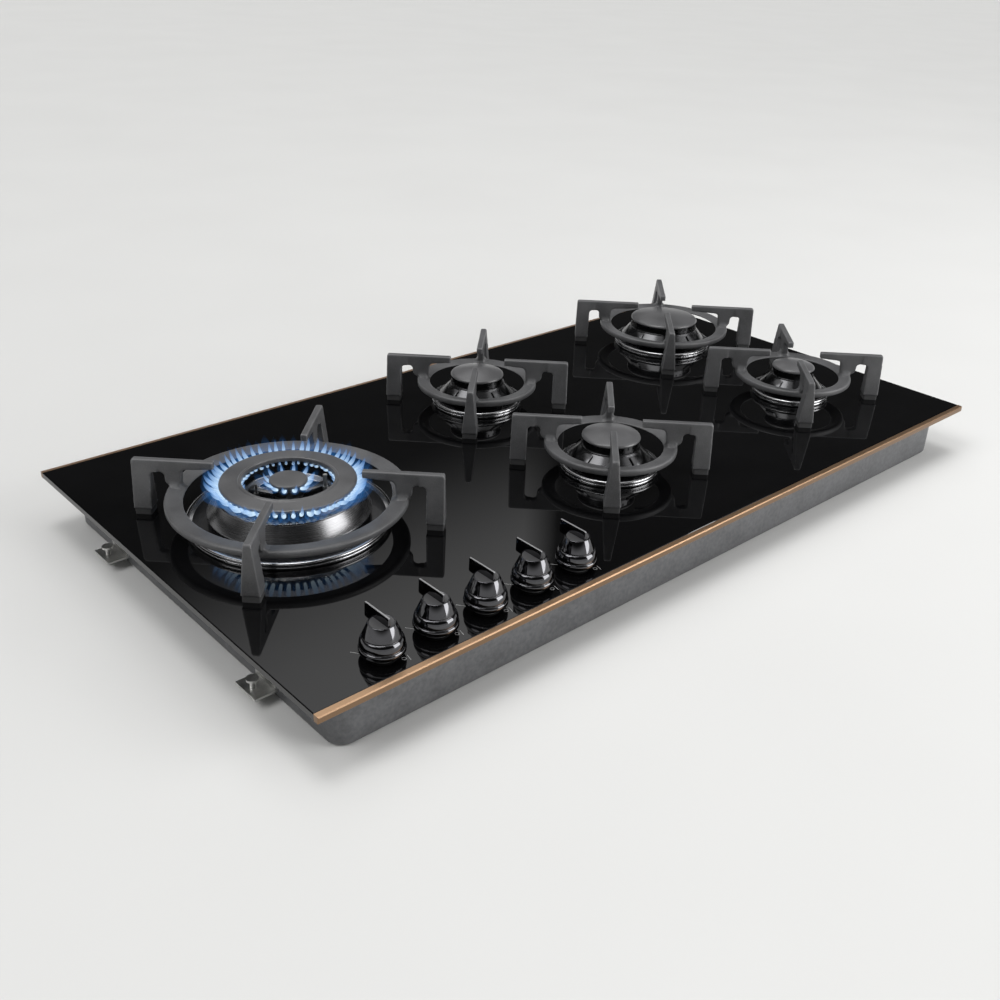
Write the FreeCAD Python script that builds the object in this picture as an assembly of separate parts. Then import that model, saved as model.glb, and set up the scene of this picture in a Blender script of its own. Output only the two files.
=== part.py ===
import FreeCAD as App
import Part
import math
import os

# Five-burner gas cooktop with a glass top, 90 cm wide.
# X runs along the front edge to the right, Y from front to back, Z up.
# The origin lies under the middle of the glass, on the bottom of the under-tray.

# Glass plate and the metal trims on its two long edges
glass_length = 900.0
glass_depth = 475.0
glass_thick = 6.0
glass_bevel = 0.9
trim_width = 5.5
trim_drop = 6.3
trim_nose = 0.9

# Seal, and the sheet-metal tray that hangs through the worktop cut-out
seal_thick = 1.5
seal_setback = 1.5
seal_width = 4.5
seal_corner = 4.0
seal_gap = 0.5
tray_depth = 50.0
tray_end_gap = 25.0
tray_sheet = 1.2
tray_corner = 16.0
tray_foot = 6.0
tray_flange = 5.0
bead_length = 560.0
bead_width = 12.0
bead_height = 4.0
bead_pitch = 90.0
vent_length = 34.0
vent_width = 4.0
vent_pitch = 52.0
vent_count = 5
vent_wall_gap = 74.0

# Burner heads: heights above the glass
dish_height = 7.2
dish_floor = 4.2
dish_sheet = 2.0
hub_height = 10.0
hub_wall = 3.2
skirt_low = 11.0
skirt_edge = 1.6
skirt_high = 25.0
band_high = 33.0
cap_rim = 3.0
cap_dome = 4.6
cap_overhang = 3.5
band_wall = 4.0
port_width = 1.7
port_height = 3.2
port_spacing = 6.4
rib_width = 12.0
rib_height = 1.6
notch_width = 7.5
seat_gap = 0.3

# The wok burner has an outer flame ring round a small central one
wok_band_high = 37.8
wok_cap_rim = 3.2
wok_cap_hole = 41.5
wok_core_cap = 17.3
wok_core_wall = 5.0
wok_bridge_width = 9.0
wok_bridge_height = 9.0
wok_bridge_seat = 2.0
wok_wall = 3.0

# Pan supports: heights above the glass
support_height = 53.5
ring_low = 21.0
ring_height = 7.5
ring_width = 10.8
ring_round = 2.4
bar_depth = 12.0
finger_depth = 9.0
finger_tip_depth = 7.0
plate_top = 6.6
plate_foot = 16.8
leg_width = 17.0
leg_splay = 0.8
slot_width = 12.6
foot_height = 5.6
foot_inset = 0.8
flare_width = 24.0
flare_height = 12.0

# Under the glass
cup_depth = 27.0
cup_floor = 4.0
cup_wall = 2.6
cup_flange = 5.0
cup_flange_thick = 2.2
pipe_radius = 4.0
pipe_level = 36.0
pipe_bend = 14.0
lane_setback = 41.0
boss_radius = 6.5
boss_length = 7.0
manifold_radius = 8.0
manifold_level = 20.0
manifold_setback = 33.0
manifold_end = 24.0
manifold_bend = 14.3
manifold_rise_start = 90.0
manifold_rise_run = 36.0
elbow_radius = 12.0
inlet_radius = 10.48
inlet_length = 15.0
inlet_neck = 9.4
inlet_bore = 7.0
inlet_end_gap = 39.0
inlet_rear_gap = 40.0
inlet_low = 4.0
pocket_size = 50.0
pocket_level = 24.0
pocket_corner = 8.0

# Knobs, spindles and taps
knob_end_gap = 78.6
knob_pitch = 51.4
knob_radius = 18.2
knob_shoulder = 15.4
knob_top_radius = 10.6
knob_gap = 4.4
knob_band_high = 11.5
knob_cone_high = 26.5
blade_high = 37.0
blade_thick = 2.2
blade_front = 9.4
blade_back = 20.6
push_travel = 3.2
spindle_radius = 4.0
spindle_flat = 1.0
spindle_top = 22.0
run_gap = 0.05
plug_radius = 6.0
tap_radius = 10.5
tap_low = 12.0
tap_high = 40.0
tap_wall_gap = 3.3
tap_outlet = 4.0
seal_ring_radius = 12.0
seal_ring_height = 2.6

# Small parts. Pins stand just outside a cap, or inside the wok burner at (radius, angle).
electrode_radius = 2.4
electrode_tip = 8.0
electrode_high = 27.0
electrode_angle = 105.0
probe_radius = 1.9
probe_tip = 12.0
probe_high = 30.0
probe_angle = 15.0
pin_gap = 2.6
wok_electrode = (29.0, 156.0)
wok_probe = (34.5, -14.0)
wok_pin_high = 38.0
injector_radius = 4.0
injector_high = 9.0
generator_size = (74.0, 46.0, 30.0)
generator_place = (90.0, -20.0)
gland_x = 250.0
gland_level = 26.0
gland_radius = 8.0
gland_bore = 3.6
bracket_width = 30.0
bracket_thick = 1.8
bracket_reach = 20.0
bracket_low = 9.0
bracket_high = 38.0
bracket_y = 130.0
worktop_thick = 30.0
clamp_radius = 2.5
clamp_pad = 2.0
wall_screw = 2.0
wall_screw_level = 30.0

# Each burner: its centre, its own radii, and those of the pan support over it
left_end = -glass_length / 2.0
right_end = glass_length / 2.0
burners = {
    "wok": dict(x=left_end + 138.5, y=11.0, cap=61.5, skirt=74.0, dish=93.0, throat=44.0,
                leg=141.3, ring=109.4, tip=67.0),
    "rear_centre": dict(x=2.0, y=115.5, cap=29.8, skirt=42.0, dish=51.0, throat=22.0,
                        leg=102.0, ring=67.2, tip=30.2),
    "front_centre": dict(x=-1.0, y=-95.0, cap=29.8, skirt=42.0, dish=51.0, throat=22.0,
                         leg=100.5, ring=67.2, tip=30.2),
    "rear_right": dict(x=right_end - 122.5, y=118.5, cap=42.5, skirt=53.0, dish=62.0, throat=26.0,
                       leg=114.3, ring=82.5, tip=34.5),
    "front_right": dict(x=right_end - 133.0, y=-91.5, cap=24.5, skirt=36.0, dish=45.0, throat=18.0,
                        leg=101.5, ring=67.0, tip=29.0),
}
burner_names = list(burners)
arm_angles = [45.0, 135.0, 225.0, 315.0]
bridge_angles = [0.0, 120.0, 240.0]

# Every pipe leaves its tap to the rear, then follows a lane to the right, counted from the
# front centre burner's own lane. Two of them turn to the rear again, to the left of their burner.
pipe_lanes = {"rear_centre": 14.0, "front_centre": 0.0, "rear_right": -12.0, "front_right": -24.0}
pipe_turns = {"rear_centre": 66.0, "rear_right": 81.5}

# Levels and places worked out from the sizes above
seat_level = tray_depth
glass_low = seat_level + seal_thick
glass_top = glass_low + glass_thick
tray_length = glass_length - 2 * tray_end_gap
tray_width = glass_depth - 2 * (seal_setback + seal_width + seal_gap + tray_flange)
knob_x = {name: left_end + knob_end_gap + knob_pitch * i for i, name in enumerate(burner_names)}
knob_y = tray_sheet + tap_wall_gap + tap_radius - tray_width / 2.0
manifold_y = knob_y + manifold_setback
vent_y = tray_width / 2.0 - vent_wall_gap
inlet_x = tray_length / 2.0 - inlet_end_gap
inlet_y = tray_width / 2.0 - inlet_rear_gap
cup_low = glass_low - cup_depth

pieces = {}


def keep(name, solids):
    # One node holds one solid, or a group of like solids
    if isinstance(solids, (list, tuple)):
        pieces[name] = Part.makeCompound(list(solids))
    else:
        pieces[name] = solids


def upright(shape):
    # Turns a shape whose faces point inward the right way out
    if shape.Volume < 0:
        shape.reverse()
    return shape


def outline(points, arcs=None):
    # Closed wire in the XZ plane. A third value on a point rounds that corner,
    # and arcs gives, for a point's number, a place that the curve arriving there goes through.
    arcs = arcs or {}
    count = len(points)
    corners = []
    for i, point in enumerate(points):
        here = App.Vector(point[0], 0, point[1])
        radius = point[2] if len(point) > 2 else 0.0
        if not radius:
            corners.append((here, here, None))
            continue
        before = App.Vector(points[i - 1][0], 0, points[i - 1][1])
        after = App.Vector(points[(i + 1) % count][0], 0, points[(i + 1) % count][1])
        back = (before - here).normalize()
        ahead = (after - here).normalize()
        half = back.getAngle(ahead) / 2.0
        cut = radius / math.tan(half)
        middle = here + (back + ahead).normalize() * (radius / math.sin(half) - radius)
        corners.append((here + back * cut, here + ahead * cut, middle))
    edges = []
    for i, (start, end, middle) in enumerate(corners):
        previous = corners[i - 1][1]
        if i in arcs:
            through = App.Vector(arcs[i][0], 0, arcs[i][1])
            edges.append(Part.Arc(previous, through, start).toShape())
        elif (start - previous).Length > 1e-6:
            edges.append(Part.makeLine(previous, start))
        if middle is not None:
            edges.append(Part.Arc(start, middle, end).toShape())
    return Part.Wire(edges)


def turned(points, arcs=None):
    # Solid of revolution about Z from a profile of (radius, height)
    face = Part.Face(outline(points, arcs))
    return upright(face.revolve(App.Vector(), App.Vector(0, 0, 1), 360))


def plate(points, thick, arcs=None):
    # A profile in the XZ plane, thick along Y and centred on it
    face = Part.Face(outline(points, arcs))
    face.translate(App.Vector(0, -thick / 2.0, 0))
    return upright(face.extrude(App.Vector(0, thick, 0)))


def bar_x(points, length):
    # A profile of (y, z) swept along X and centred on it
    solid = plate(points, length)
    solid.rotate(App.Vector(), App.Vector(0, 0, 1), 90)
    return solid


def dome_point(edge, low, rise):
    # Halfway point of a dome centred on Z that rises from (edge, low) to its top on the axis
    radius = (edge ** 2 + rise ** 2) / (2.0 * rise)
    half = edge / 2.0
    return (half, low + rise - radius + math.sqrt(radius ** 2 - half ** 2))


def slab(length, width, low, high, corner):
    # Upright block with rounded corners, centred on the Z axis
    block = Part.makeBox(length, width, high - low, App.Vector(-length / 2.0, -width / 2.0, low))
    if corner <= 0:
        return block
    upright_edges = [e for e in block.Edges if abs(e.tangentAt(e.FirstParameter).z) > 0.9]
    return block.makeFillet(corner, upright_edges)


def cylinder(radius, low, high, x=0.0, y=0.0):
    return Part.makeCylinder(radius, high - low, App.Vector(x, y, low))


def moved(shape, x=0.0, y=0.0, z=0.0):
    copy = shape.copy()
    copy.translate(App.Vector(x, y, z))
    return copy


def spun(shape, angle):
    copy = shape.copy()
    copy.rotate(App.Vector(), App.Vector(0, 0, 1), angle)
    return copy


def tube(points, radius, bend):
    # Round bar along straight runs joined by tangent arcs
    corners = [App.Vector(*p) for p in points]
    edges = []
    start = corners[0]
    for before, here, after in zip(corners, corners[1:], corners[2:]):
        back = (before - here).normalize()
        ahead = (after - here).normalize()
        half = back.getAngle(ahead) / 2.0
        cut = bend / math.tan(half)
        middle = here + (back + ahead).normalize() * (bend / math.sin(half) - bend)
        edges.append(Part.makeLine(start, here + back * cut))
        edges.append(Part.Arc(here + back * cut, middle, here + ahead * cut).toShape())
        start = here + ahead * cut
    edges.append(Part.makeLine(start, corners[-1]))
    heading = (corners[1] - corners[0]).normalize()
    section = Part.Wire([Part.makeCircle(radius, corners[0], heading)])
    return upright(Part.Wire(edges).makePipeShell([section], True, False))


def make_glass():
    half = glass_depth / 2.0
    profile = [(-half, glass_low), (half, glass_low), (half, glass_top - glass_bevel),
               (half - glass_bevel, glass_top), (glass_bevel - half, glass_top),
               (-half, glass_top - glass_bevel)]
    glass = bar_x(profile, glass_length)
    ends = [e for e in glass.Edges
            if abs(abs(e.CenterOfMass.x) - glass_length / 2.0) < 1e-3
            and abs(e.CenterOfMass.z - glass_top) < 1e-3]
    glass = glass.makeChamfer(glass_bevel * 0.8, ends)
    holes = [cylinder(b["throat"] + 1.0, glass_low - 1, glass_top + 1, b["x"], b["y"])
             for b in burners.values()]
    holes += [cylinder(seal_ring_radius - 3.0, glass_low - 1, glass_top + 1, x, knob_y)
              for x in knob_x.values()]
    keep("glass_top", glass.cut(Part.makeCompound(holes)))


def make_trims():
    # Extruded nosing against the glass edge: a broad top face, a soft ridge and an upright front
    inner = glass_depth / 2.0
    outer = inner + trim_width
    low = glass_top - trim_drop
    profile = [(inner, glass_top), (inner, low), (outer - 0.6, low), (outer, low + 0.6),
               (outer, glass_top - 1.2), (outer - trim_nose, glass_top - 0.3)]
    for name, side in (("rear_trim", 1.0), ("front_trim", -1.0)):
        trim = bar_x([(side * y, z) for y, z in profile], glass_length)
        corners = [e for e in trim.Edges
                   if abs(abs(e.CenterOfMass.x) - glass_length / 2.0) < 1e-3
                   and abs(abs(e.CenterOfMass.y) - outer) < 1e-3
                   and abs(e.tangentAt(e.FirstParameter).z) > 0.99]
        keep(name, trim.makeChamfer(trim_nose, corners))


def make_seal():
    inset = seal_setback + seal_width
    outer = slab(glass_length - 2 * seal_setback, glass_depth - 2 * seal_setback,
                 seat_level, glass_low, seal_corner)
    inner = slab(glass_length - 2 * inset, glass_depth - 2 * inset,
                 seat_level - 1, glass_low + 1, seal_corner)
    keep("rim_seal", outer.cut(inner))


def rounded_tub(length, width, low, high, corner, foot):
    block = slab(length, width, low, high, corner)
    bottom = [e for e in block.Edges if abs(e.CenterOfMass.z - low) < 1e-3]
    return block.makeFillet(foot, bottom)


def make_tray():
    shell = rounded_tub(tray_length, tray_width, 0.0, glass_low, tray_corner, tray_foot)
    flange = slab(tray_length + 2 * tray_flange, tray_width + 2 * tray_flange,
                  glass_low - tray_sheet, glass_low, tray_corner + tray_flange)
    inside = rounded_tub(tray_length - 2 * tray_sheet, tray_width - 2 * tray_sheet, tray_sheet,
                         glass_low + 5, tray_corner - tray_sheet, tray_foot - tray_sheet)
    tray = shell.fuse(flange).cut(inside)
    # Stiffening beads pressed up into the floor
    raised = []
    pressed = []
    for side in (-1.0, 1.0):
        outer = slab(bead_length, bead_width, 0.5, bead_height, bead_width / 2.0 - 0.1)
        inner = slab(bead_length - 2 * tray_sheet, bead_width - 2 * tray_sheet, -1.0,
                     bead_height - tray_sheet, bead_width / 2.0 - tray_sheet - 0.1)
        raised.append(moved(outer, 0, side * bead_pitch / 2.0))
        pressed.append(moved(inner, 0, side * bead_pitch / 2.0))
    # Raised pocket that the gas inlet hangs in, so that the union stays above the floor
    wall = slab(pocket_size + 2 * tray_sheet, pocket_size + 2 * tray_sheet, 0.0,
                pocket_level, pocket_corner + tray_sheet)
    hollow = slab(pocket_size, pocket_size, -1.0, pocket_level - tray_sheet, pocket_corner)
    raised.append(moved(wall, inlet_x, inlet_y))
    pressed.append(moved(hollow, inlet_x, inlet_y))
    pressed.append(cylinder(inlet_radius + 0.3, 0, pocket_level + 5, inlet_x, inlet_y))
    # Vents under the taps, the cable hole and the bracket screw holes
    for i in range(vent_count):
        x = (i - (vent_count - 1) / 2.0) * vent_pitch
        vent = slab(vent_length, vent_width, -1.0, tray_sheet + 1.0, vent_width / 2.0 - 0.05)
        pressed.append(moved(vent, x, vent_y))
        pressed.append(moved(vent, x, -vent_y))
    rear = tray_width / 2.0
    gland = Part.makeCylinder(gland_radius - 1.5, 8, App.Vector(gland_x, rear - 5, gland_level),
                              App.Vector(0, 1, 0))
    pressed.append(gland)
    for y in (-bracket_y, bracket_y):
        pressed.append(Part.makeCylinder(wall_screw + run_gap, tray_length + 10.0,
                                         App.Vector(-tray_length / 2.0 - 5.0, y, wall_screw_level),
                                         App.Vector(1, 0, 0)))
    tray = tray.fuse(raised).cut(Part.makeCompound(pressed))
    keep("under_tray", tray)


def make_dish(name, b):
    hub_in = b["throat"] - hub_wall
    rim = b["dish"]
    profile = [(hub_in, -glass_thick), (b["throat"], -glass_thick), (b["throat"], dish_sheet),
               (rim - 9.0, dish_sheet), (rim - 9.0, 0.0), (rim - 2.0, 0.0), (rim - 0.8, 1.0),
               (rim - 0.8, 2.8), (rim - 2.2, 3.3), (rim - 2.2, 3.9), (rim, 4.4),
               (rim, dish_height - 0.7), (rim - 0.9, dish_height), (rim - 3.4, dish_height),
               (rim - 6.0, dish_floor), (b["throat"] + 4.0, dish_floor),
               (b["throat"], dish_floor + 1.6), (b["throat"], hub_height), (hub_in, hub_height)]
    keep("burner_dish_" + name, moved(turned(profile), b["x"], b["y"], glass_top))


def port_cutters(radius, wall, top, spacing):
    # Radial notches cut down from the top edge of a burner band
    count = int(round(2 * math.pi * radius / spacing / 4.0)) * 4
    cutter = Part.makeBox(wall + 3.0, port_width, port_height + 1.0,
                          App.Vector(radius - wall - 1.0, -port_width / 2.0, top - port_height))
    return [spun(cutter, (i + 0.5) * 360.0 / count) for i in range(count)]


def skirt_ribs(inner, outer, low, high):
    # Four blocks that lie on the cone, facing front, back, left and right
    run = outer - inner
    rise = high - low
    length = math.hypot(run, rise)
    lift_x = rib_height * rise / length
    lift_z = rib_height * run / length
    a = 0.12
    profile = [(inner + a * run - 0.6, high - a * rise - 0.6),
               (outer - a * run - 0.6, low + a * rise - 0.6),
               (outer - a * run + lift_x, low + a * rise + lift_z),
               (inner + a * run + lift_x, high - a * rise + lift_z)]
    return [spun(plate(profile, rib_width), angle) for angle in (0, 90, 180, 270)]


def pin_notches(b):
    # Room in the skirt for the spark electrode and the flame probe
    notches = []
    for angle in (electrode_angle, probe_angle):
        start = b["cap"] - 1.2
        box = Part.makeBox(b["skirt"], notch_width, skirt_high + 1.0,
                           App.Vector(start, -notch_width / 2.0, hub_height))
        notches.append(spun(box, angle))
    return notches


def make_crown(name, b):
    band = b["cap"] - cap_overhang
    spigot = b["throat"] - hub_wall - seat_gap
    bore = spigot - 2.5
    inner = band - band_wall
    profile = [(bore, hub_height - 6.0), (spigot, hub_height - 6.0), (spigot, hub_height),
               (b["throat"] + 1.0, hub_height), (b["throat"] + 2.0, skirt_high - 5.0),
               (b["skirt"] - 2.4, skirt_low), (b["skirt"], skirt_low),
               (b["skirt"], skirt_low + skirt_edge), (band + 2.6, skirt_high - 0.6),
               (band + 2.6, skirt_high + 1.0), (band, skirt_high + 1.8), (band, band_high),
               (inner, band_high), (inner, skirt_high), (bore, skirt_high)]
    crown = turned(profile)
    ribs = skirt_ribs(band + 2.6, b["skirt"], skirt_low + skirt_edge, skirt_high - 0.6)
    crown = crown.fuse(ribs)
    cutters = port_cutters(band, band_wall, band_high, port_spacing) + pin_notches(b)
    crown = crown.cut(Part.makeCompound(cutters))
    keep("burner_crown_" + name, moved(crown, b["x"], b["y"], glass_top))


def make_cap(name, b):
    edge = b["cap"]
    lip = b["cap"] - cap_overhang - band_wall - seat_gap
    low = band_high
    high = low + cap_rim
    profile = [(0, low + 1.4), (lip - 2.0, low + 1.4), (lip - 2.0, low - 1.8), (lip, low - 1.8),
               (lip, low), (edge - 1.0, low), (edge, low + 1.0), (edge, high - 0.8),
               (edge - 0.8, high), (0, high + cap_dome)]
    middle = dome_point(edge - 0.8, high, cap_dome)
    keep("burner_cap_" + name,
         moved(turned(profile, {9: middle}), b["x"], b["y"], glass_top))


def make_wok_head(b):
    # Outer flame ring: a trough with a band of ports, over the conical skirt
    band = b["cap"] - 2.0
    spigot = b["throat"] - hub_wall - seat_gap
    bore = spigot - 2.6
    inner = wok_cap_hole + 2.0
    top = wok_band_high
    floor = skirt_high
    profile = [(bore, hub_height - 6.0), (spigot, hub_height - 6.0), (spigot, hub_height),
               (b["throat"] + 1.0, hub_height), (b["throat"] + 3.0, floor - 5.0),
               (b["skirt"] - 2.4, skirt_low), (b["skirt"], skirt_low),
               (b["skirt"], skirt_low + skirt_edge), (band + 4.4, floor + 2.4),
               (band + 4.4, floor + 3.8), (band, floor + 5.0), (band, top), (band - wok_wall, top),
               (band - wok_wall, floor + 1.0), (inner + wok_wall, floor + 1.0),
               (inner + wok_wall, top), (inner, top), (inner, floor), (bore, floor - 3.0)]
    # Three seats in its inner wall hold the bridges of the central ring
    seat_low = floor - wok_bridge_height
    seat_width = wok_bridge_width + 2 * seat_gap
    seat = Part.makeBox(wok_bridge_seat + seat_gap + 1.0, seat_width, wok_bridge_height + 1.0,
                        App.Vector(bore - 1.0, -seat_width / 2.0, seat_low))
    cutters = [spun(seat, angle) for angle in bridge_angles]
    cutters += port_cutters(band, wok_wall, top, port_spacing)
    crown = turned(profile).cut(Part.makeCompound(cutters))
    keep("burner_crown_wok", moved(crown, b["x"], b["y"], glass_top))

    # Central flame ring on bridges that carry its gas
    core = wok_core_cap - 2.4
    core_bore = core - wok_core_wall - 2.0
    core_profile = [(core_bore, hub_height), (core - wok_core_wall, hub_height),
                    (core - 2.0, floor), (core, floor + 3.0), (core, top),
                    (core - wok_wall, top), (core - wok_wall, floor + 4.0),
                    (core_bore, floor + 4.0)]
    bridge_start = core - 4.0
    bridge = Part.makeBox(bore + wok_bridge_seat - bridge_start, wok_bridge_width, wok_bridge_height,
                          App.Vector(bridge_start, -wok_bridge_width / 2.0, seat_low))
    middle = turned(core_profile).fuse([spun(bridge, angle) for angle in bridge_angles])
    cutters = port_cutters(core, wok_wall, top, port_spacing)
    cutters.append(cylinder(core_bore, 0, top + 1))
    middle = middle.cut(Part.makeCompound(cutters))
    keep("burner_core_wok", moved(middle, b["x"], b["y"], glass_top))

    # Flat ring cap with a raised inner rim, and the small cap in the middle
    edge = b["cap"]
    lip_out = band - wok_wall - seat_gap
    lip_in = inner + wok_wall + seat_gap
    high = top + wok_cap_rim
    ring = [(wok_cap_hole, top), (lip_in, top), (lip_in, top - 1.6), (lip_in + 1.8, top - 1.6),
            (lip_in + 1.8, top), (lip_out - 1.8, top), (lip_out - 1.8, top - 1.6),
            (lip_out, top - 1.6), (lip_out, top), (edge - 0.8, top), (edge, top + 0.8),
            (edge, high - 1.4), (edge - 1.2, high - 0.4), (wok_cap_hole + 3.4, high - 0.2),
            (wok_cap_hole + 2.6, high + 0.8), (wok_cap_hole + 0.6, high + 0.8),
            (wok_cap_hole, high + 0.2)]
    keep("burner_cap_wok_ring", moved(turned(ring), b["x"], b["y"], glass_top))
    lip = core - wok_wall - seat_gap
    small = [(0, top + 1.2), (lip - 1.6, top + 1.2), (lip - 1.6, top - 1.6), (lip, top - 1.6),
             (lip, top), (wok_core_cap - 0.8, top), (wok_core_cap, top + 0.8),
             (wok_core_cap, high - 0.8), (wok_core_cap - 0.9, high), (0, high + 0.5)]
    keep("burner_cap_wok_centre", moved(turned(small), b["x"], b["y"], glass_top))


def arm_profile(b):
    # One arm seen from the side: leg, arched slot, web down to the ring, and finger
    leg = b["leg"]
    high = support_height
    leg_out = leg + leg_splay
    slot_out = leg_out - leg_width
    slot_in = slot_out - slot_width
    ring_in = b["ring"] - ring_width
    low = ring_low + 1.0
    ring_mid = ring_low + ring_height - 1.5
    arch = high - bar_depth
    return [(b["tip"], high, 0.8), (leg, high, 2.2), (leg_out, foot_height),
            (slot_out, foot_height), (slot_out, arch, 3.8),
            (slot_in, arch, 3.8), (slot_in - 0.4, ring_mid + 5.0, 6.0),
            (b["ring"] - 1.2, ring_mid), (b["ring"] - 1.5, low), (ring_in + 2.0, low),
            (ring_in - 1.2, ring_mid + 3.0, 3.0), (ring_in - 2.6, high - finger_depth, 4.5),
            (b["tip"], high - finger_tip_depth, 0.8)]


def make_support(name, b):
    ring_in = b["ring"] - ring_width
    top = ring_low + ring_height
    r = ring_round
    ring = turned([(ring_in, ring_low, r), (b["ring"], ring_low, r),
                   (b["ring"], top, r), (ring_in, top, r)])
    # The plate is thin at the top and spreads down its leg to the foot
    full = plate(arm_profile(b), plate_foot + 2.0)
    half_top = plate_top / 2.0
    half_foot = plate_foot / 2.0
    leg_out = b["leg"] + leg_splay
    web_out = leg_out - leg_width - slot_width / 2.0
    wedge = [(-half_foot, foot_height - 0.1), (half_foot, foot_height - 0.1),
             (half_top, support_height + 0.1), (-half_top, support_height + 0.1)]
    leg_wedge = bar_x(wedge, 2 * (leg_width + slot_width))
    leg_wedge.translate(App.Vector(web_out + leg_width + slot_width, 0, 0))
    web_block = Part.makeBox(web_out - b["tip"] + 2.0, plate_top, support_height,
                             App.Vector(b["tip"] - 2.0, -half_top, 1.0))
    arm = full.common(leg_wedge.fuse(web_block))
    # Soft flare where the web runs into the ring
    flare_low = ring_low + 1.2
    rise = flare_low + ring_height - 3.0
    flare = [(-flare_width / 2.0, flare_low), (flare_width / 2.0, flare_low),
             (flare_width / 2.0, rise), (half_top, rise + flare_height),
             (-half_top, rise + flare_height), (-flare_width / 2.0, rise)]
    curve = {3: (half_top + 2.4, rise + 2.6), 5: (-half_top - 2.4, rise + 2.6)}
    foot = plate(flare, ring_width - 2.6, curve)
    foot.rotate(App.Vector(), App.Vector(0, 0, 1), 90)
    foot.translate(App.Vector(b["ring"] - ring_width / 2.0, 0, 0))
    limb = arm.fuse(foot)
    support = ring.fuse([spun(limb, angle) for angle in arm_angles]).removeSplitter()
    keep("pan_support_" + name, moved(support, b["x"], b["y"], glass_top))

    # Rubber shoe under each leg
    pads = []
    pad = Part.makeBox(leg_width - 2 * foot_inset, plate_foot - 2 * foot_inset, foot_height,
                       App.Vector(leg_out - leg_width + foot_inset, foot_inset - half_foot, 0))
    soft = [e for e in pad.Edges if abs(e.tangentAt(e.FirstParameter).z) > 0.9]
    pad = pad.makeFillet(1.5, soft)
    for angle in arm_angles:
        pads.append(moved(spun(pad, angle), b["x"], b["y"], glass_top))
    keep("support_feet_" + name, pads)


def make_cups():
    # Die-cast cup clamped under the glass at each burner, with its gas inlet boss
    cups = []
    injectors = []
    for name, b in burners.items():
        inner = b["throat"] - hub_wall
        outer = b["throat"] + cup_wall
        floor = cup_low + cup_floor
        rim = [(0, cup_low), (outer, cup_low, 3.0), (outer, glass_low - cup_flange_thick),
               (outer + cup_flange, glass_low - cup_flange_thick), (outer + cup_flange, glass_low),
               (inner, glass_low), (inner, floor), (0, floor)]
        cup = turned(rim)
        x, y = boss_heading(name)
        boss = Part.makeCylinder(boss_radius, boss_length + 1.0,
                                 App.Vector(x * (outer - 1.0), y * (outer - 1.0), pipe_level),
                                 App.Vector(x, y, 0))
        cups.append(moved(cup.fuse(boss), b["x"], b["y"]))
        jet = [(0.6, 0), (injector_radius, 0), (injector_radius, injector_high * 0.6),
               (1.6, injector_high), (0.6, injector_high)]
        spots = [(0.0, 0.0)] if name != "wok" else [(0.0, 0.0), (0.0, b["throat"] * 0.55)]
        for dx, dy in spots:
            injectors.append(moved(turned(jet), b["x"] + dx, b["y"] + dy, floor))
    keep("burner_cups", cups)
    keep("injectors", injectors)


def boss_heading(name):
    # The side of a cup that its pipe comes from
    return (0.0, -1.0) if name.startswith("front") else (-1.0, 0.0)


def make_pipes():
    # From left to right the taps serve the burners in their listed order
    pipes = []
    start_y = knob_y + tap_radius + tap_outlet
    for name, b in burners.items():
        x = knob_x[name]
        dx, dy = boss_heading(name)
        reach = b["throat"] + cup_wall + boss_length
        end = (b["x"] + dx * reach, b["y"] + dy * reach)
        if name == "wok":
            route = [(x, start_y), (x, end[1]), end]
        else:
            lane = burners["front_centre"]["y"] - lane_setback + pipe_lanes[name]
            turn = b["x"] - pipe_turns[name] if name in pipe_turns else end[0]
            route = [(x, start_y), (x, lane), (turn, lane), (turn, end[1]), end]
            route = route if name in pipe_turns else route[:3] + [end]
        first = route[1][1] - route[0][1]
        last = abs(end[0] - route[-2][0]) + abs(end[1] - route[-2][1])
        bend = min(pipe_bend, 0.9 * first, 0.9 * last)
        pipes.append(tube([(px, py, pipe_level) for px, py in route], pipe_radius, bend))
    keep("gas_pipes", pipes)

    far = knob_x["wok"] - manifold_end
    elbow_front = inlet_y - elbow_radius
    rise_y = inlet_y - manifold_rise_start
    rod = tube([(far, manifold_y, manifold_level), (inlet_x, manifold_y, manifold_level),
                (inlet_x, rise_y, manifold_level), (inlet_x, rise_y + manifold_rise_run, pipe_level),
                (inlet_x, elbow_front, pipe_level)], manifold_radius, manifold_bend)
    keep("gas_manifold", rod)

    # Elbow over the pocket; its threaded end hangs below the pocket's floor
    body = cylinder(elbow_radius, pocket_level, pipe_level + 10.0, inlet_x, inlet_y)
    arm = Part.makeCylinder(manifold_radius + 1.5, elbow_radius,
                            App.Vector(inlet_x, elbow_front, pipe_level), App.Vector(0, 1, 0))
    neck = cylinder(inlet_neck, inlet_low, pocket_level, inlet_x, inlet_y)
    thread = cylinder(inlet_radius, inlet_low, inlet_low + inlet_length, inlet_x, inlet_y)
    elbow = body.fuse([arm, neck, thread])
    elbow = elbow.cut(cylinder(inlet_bore, inlet_low - 1, pipe_level, inlet_x, inlet_y))
    keep("inlet_elbow", elbow)


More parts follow.
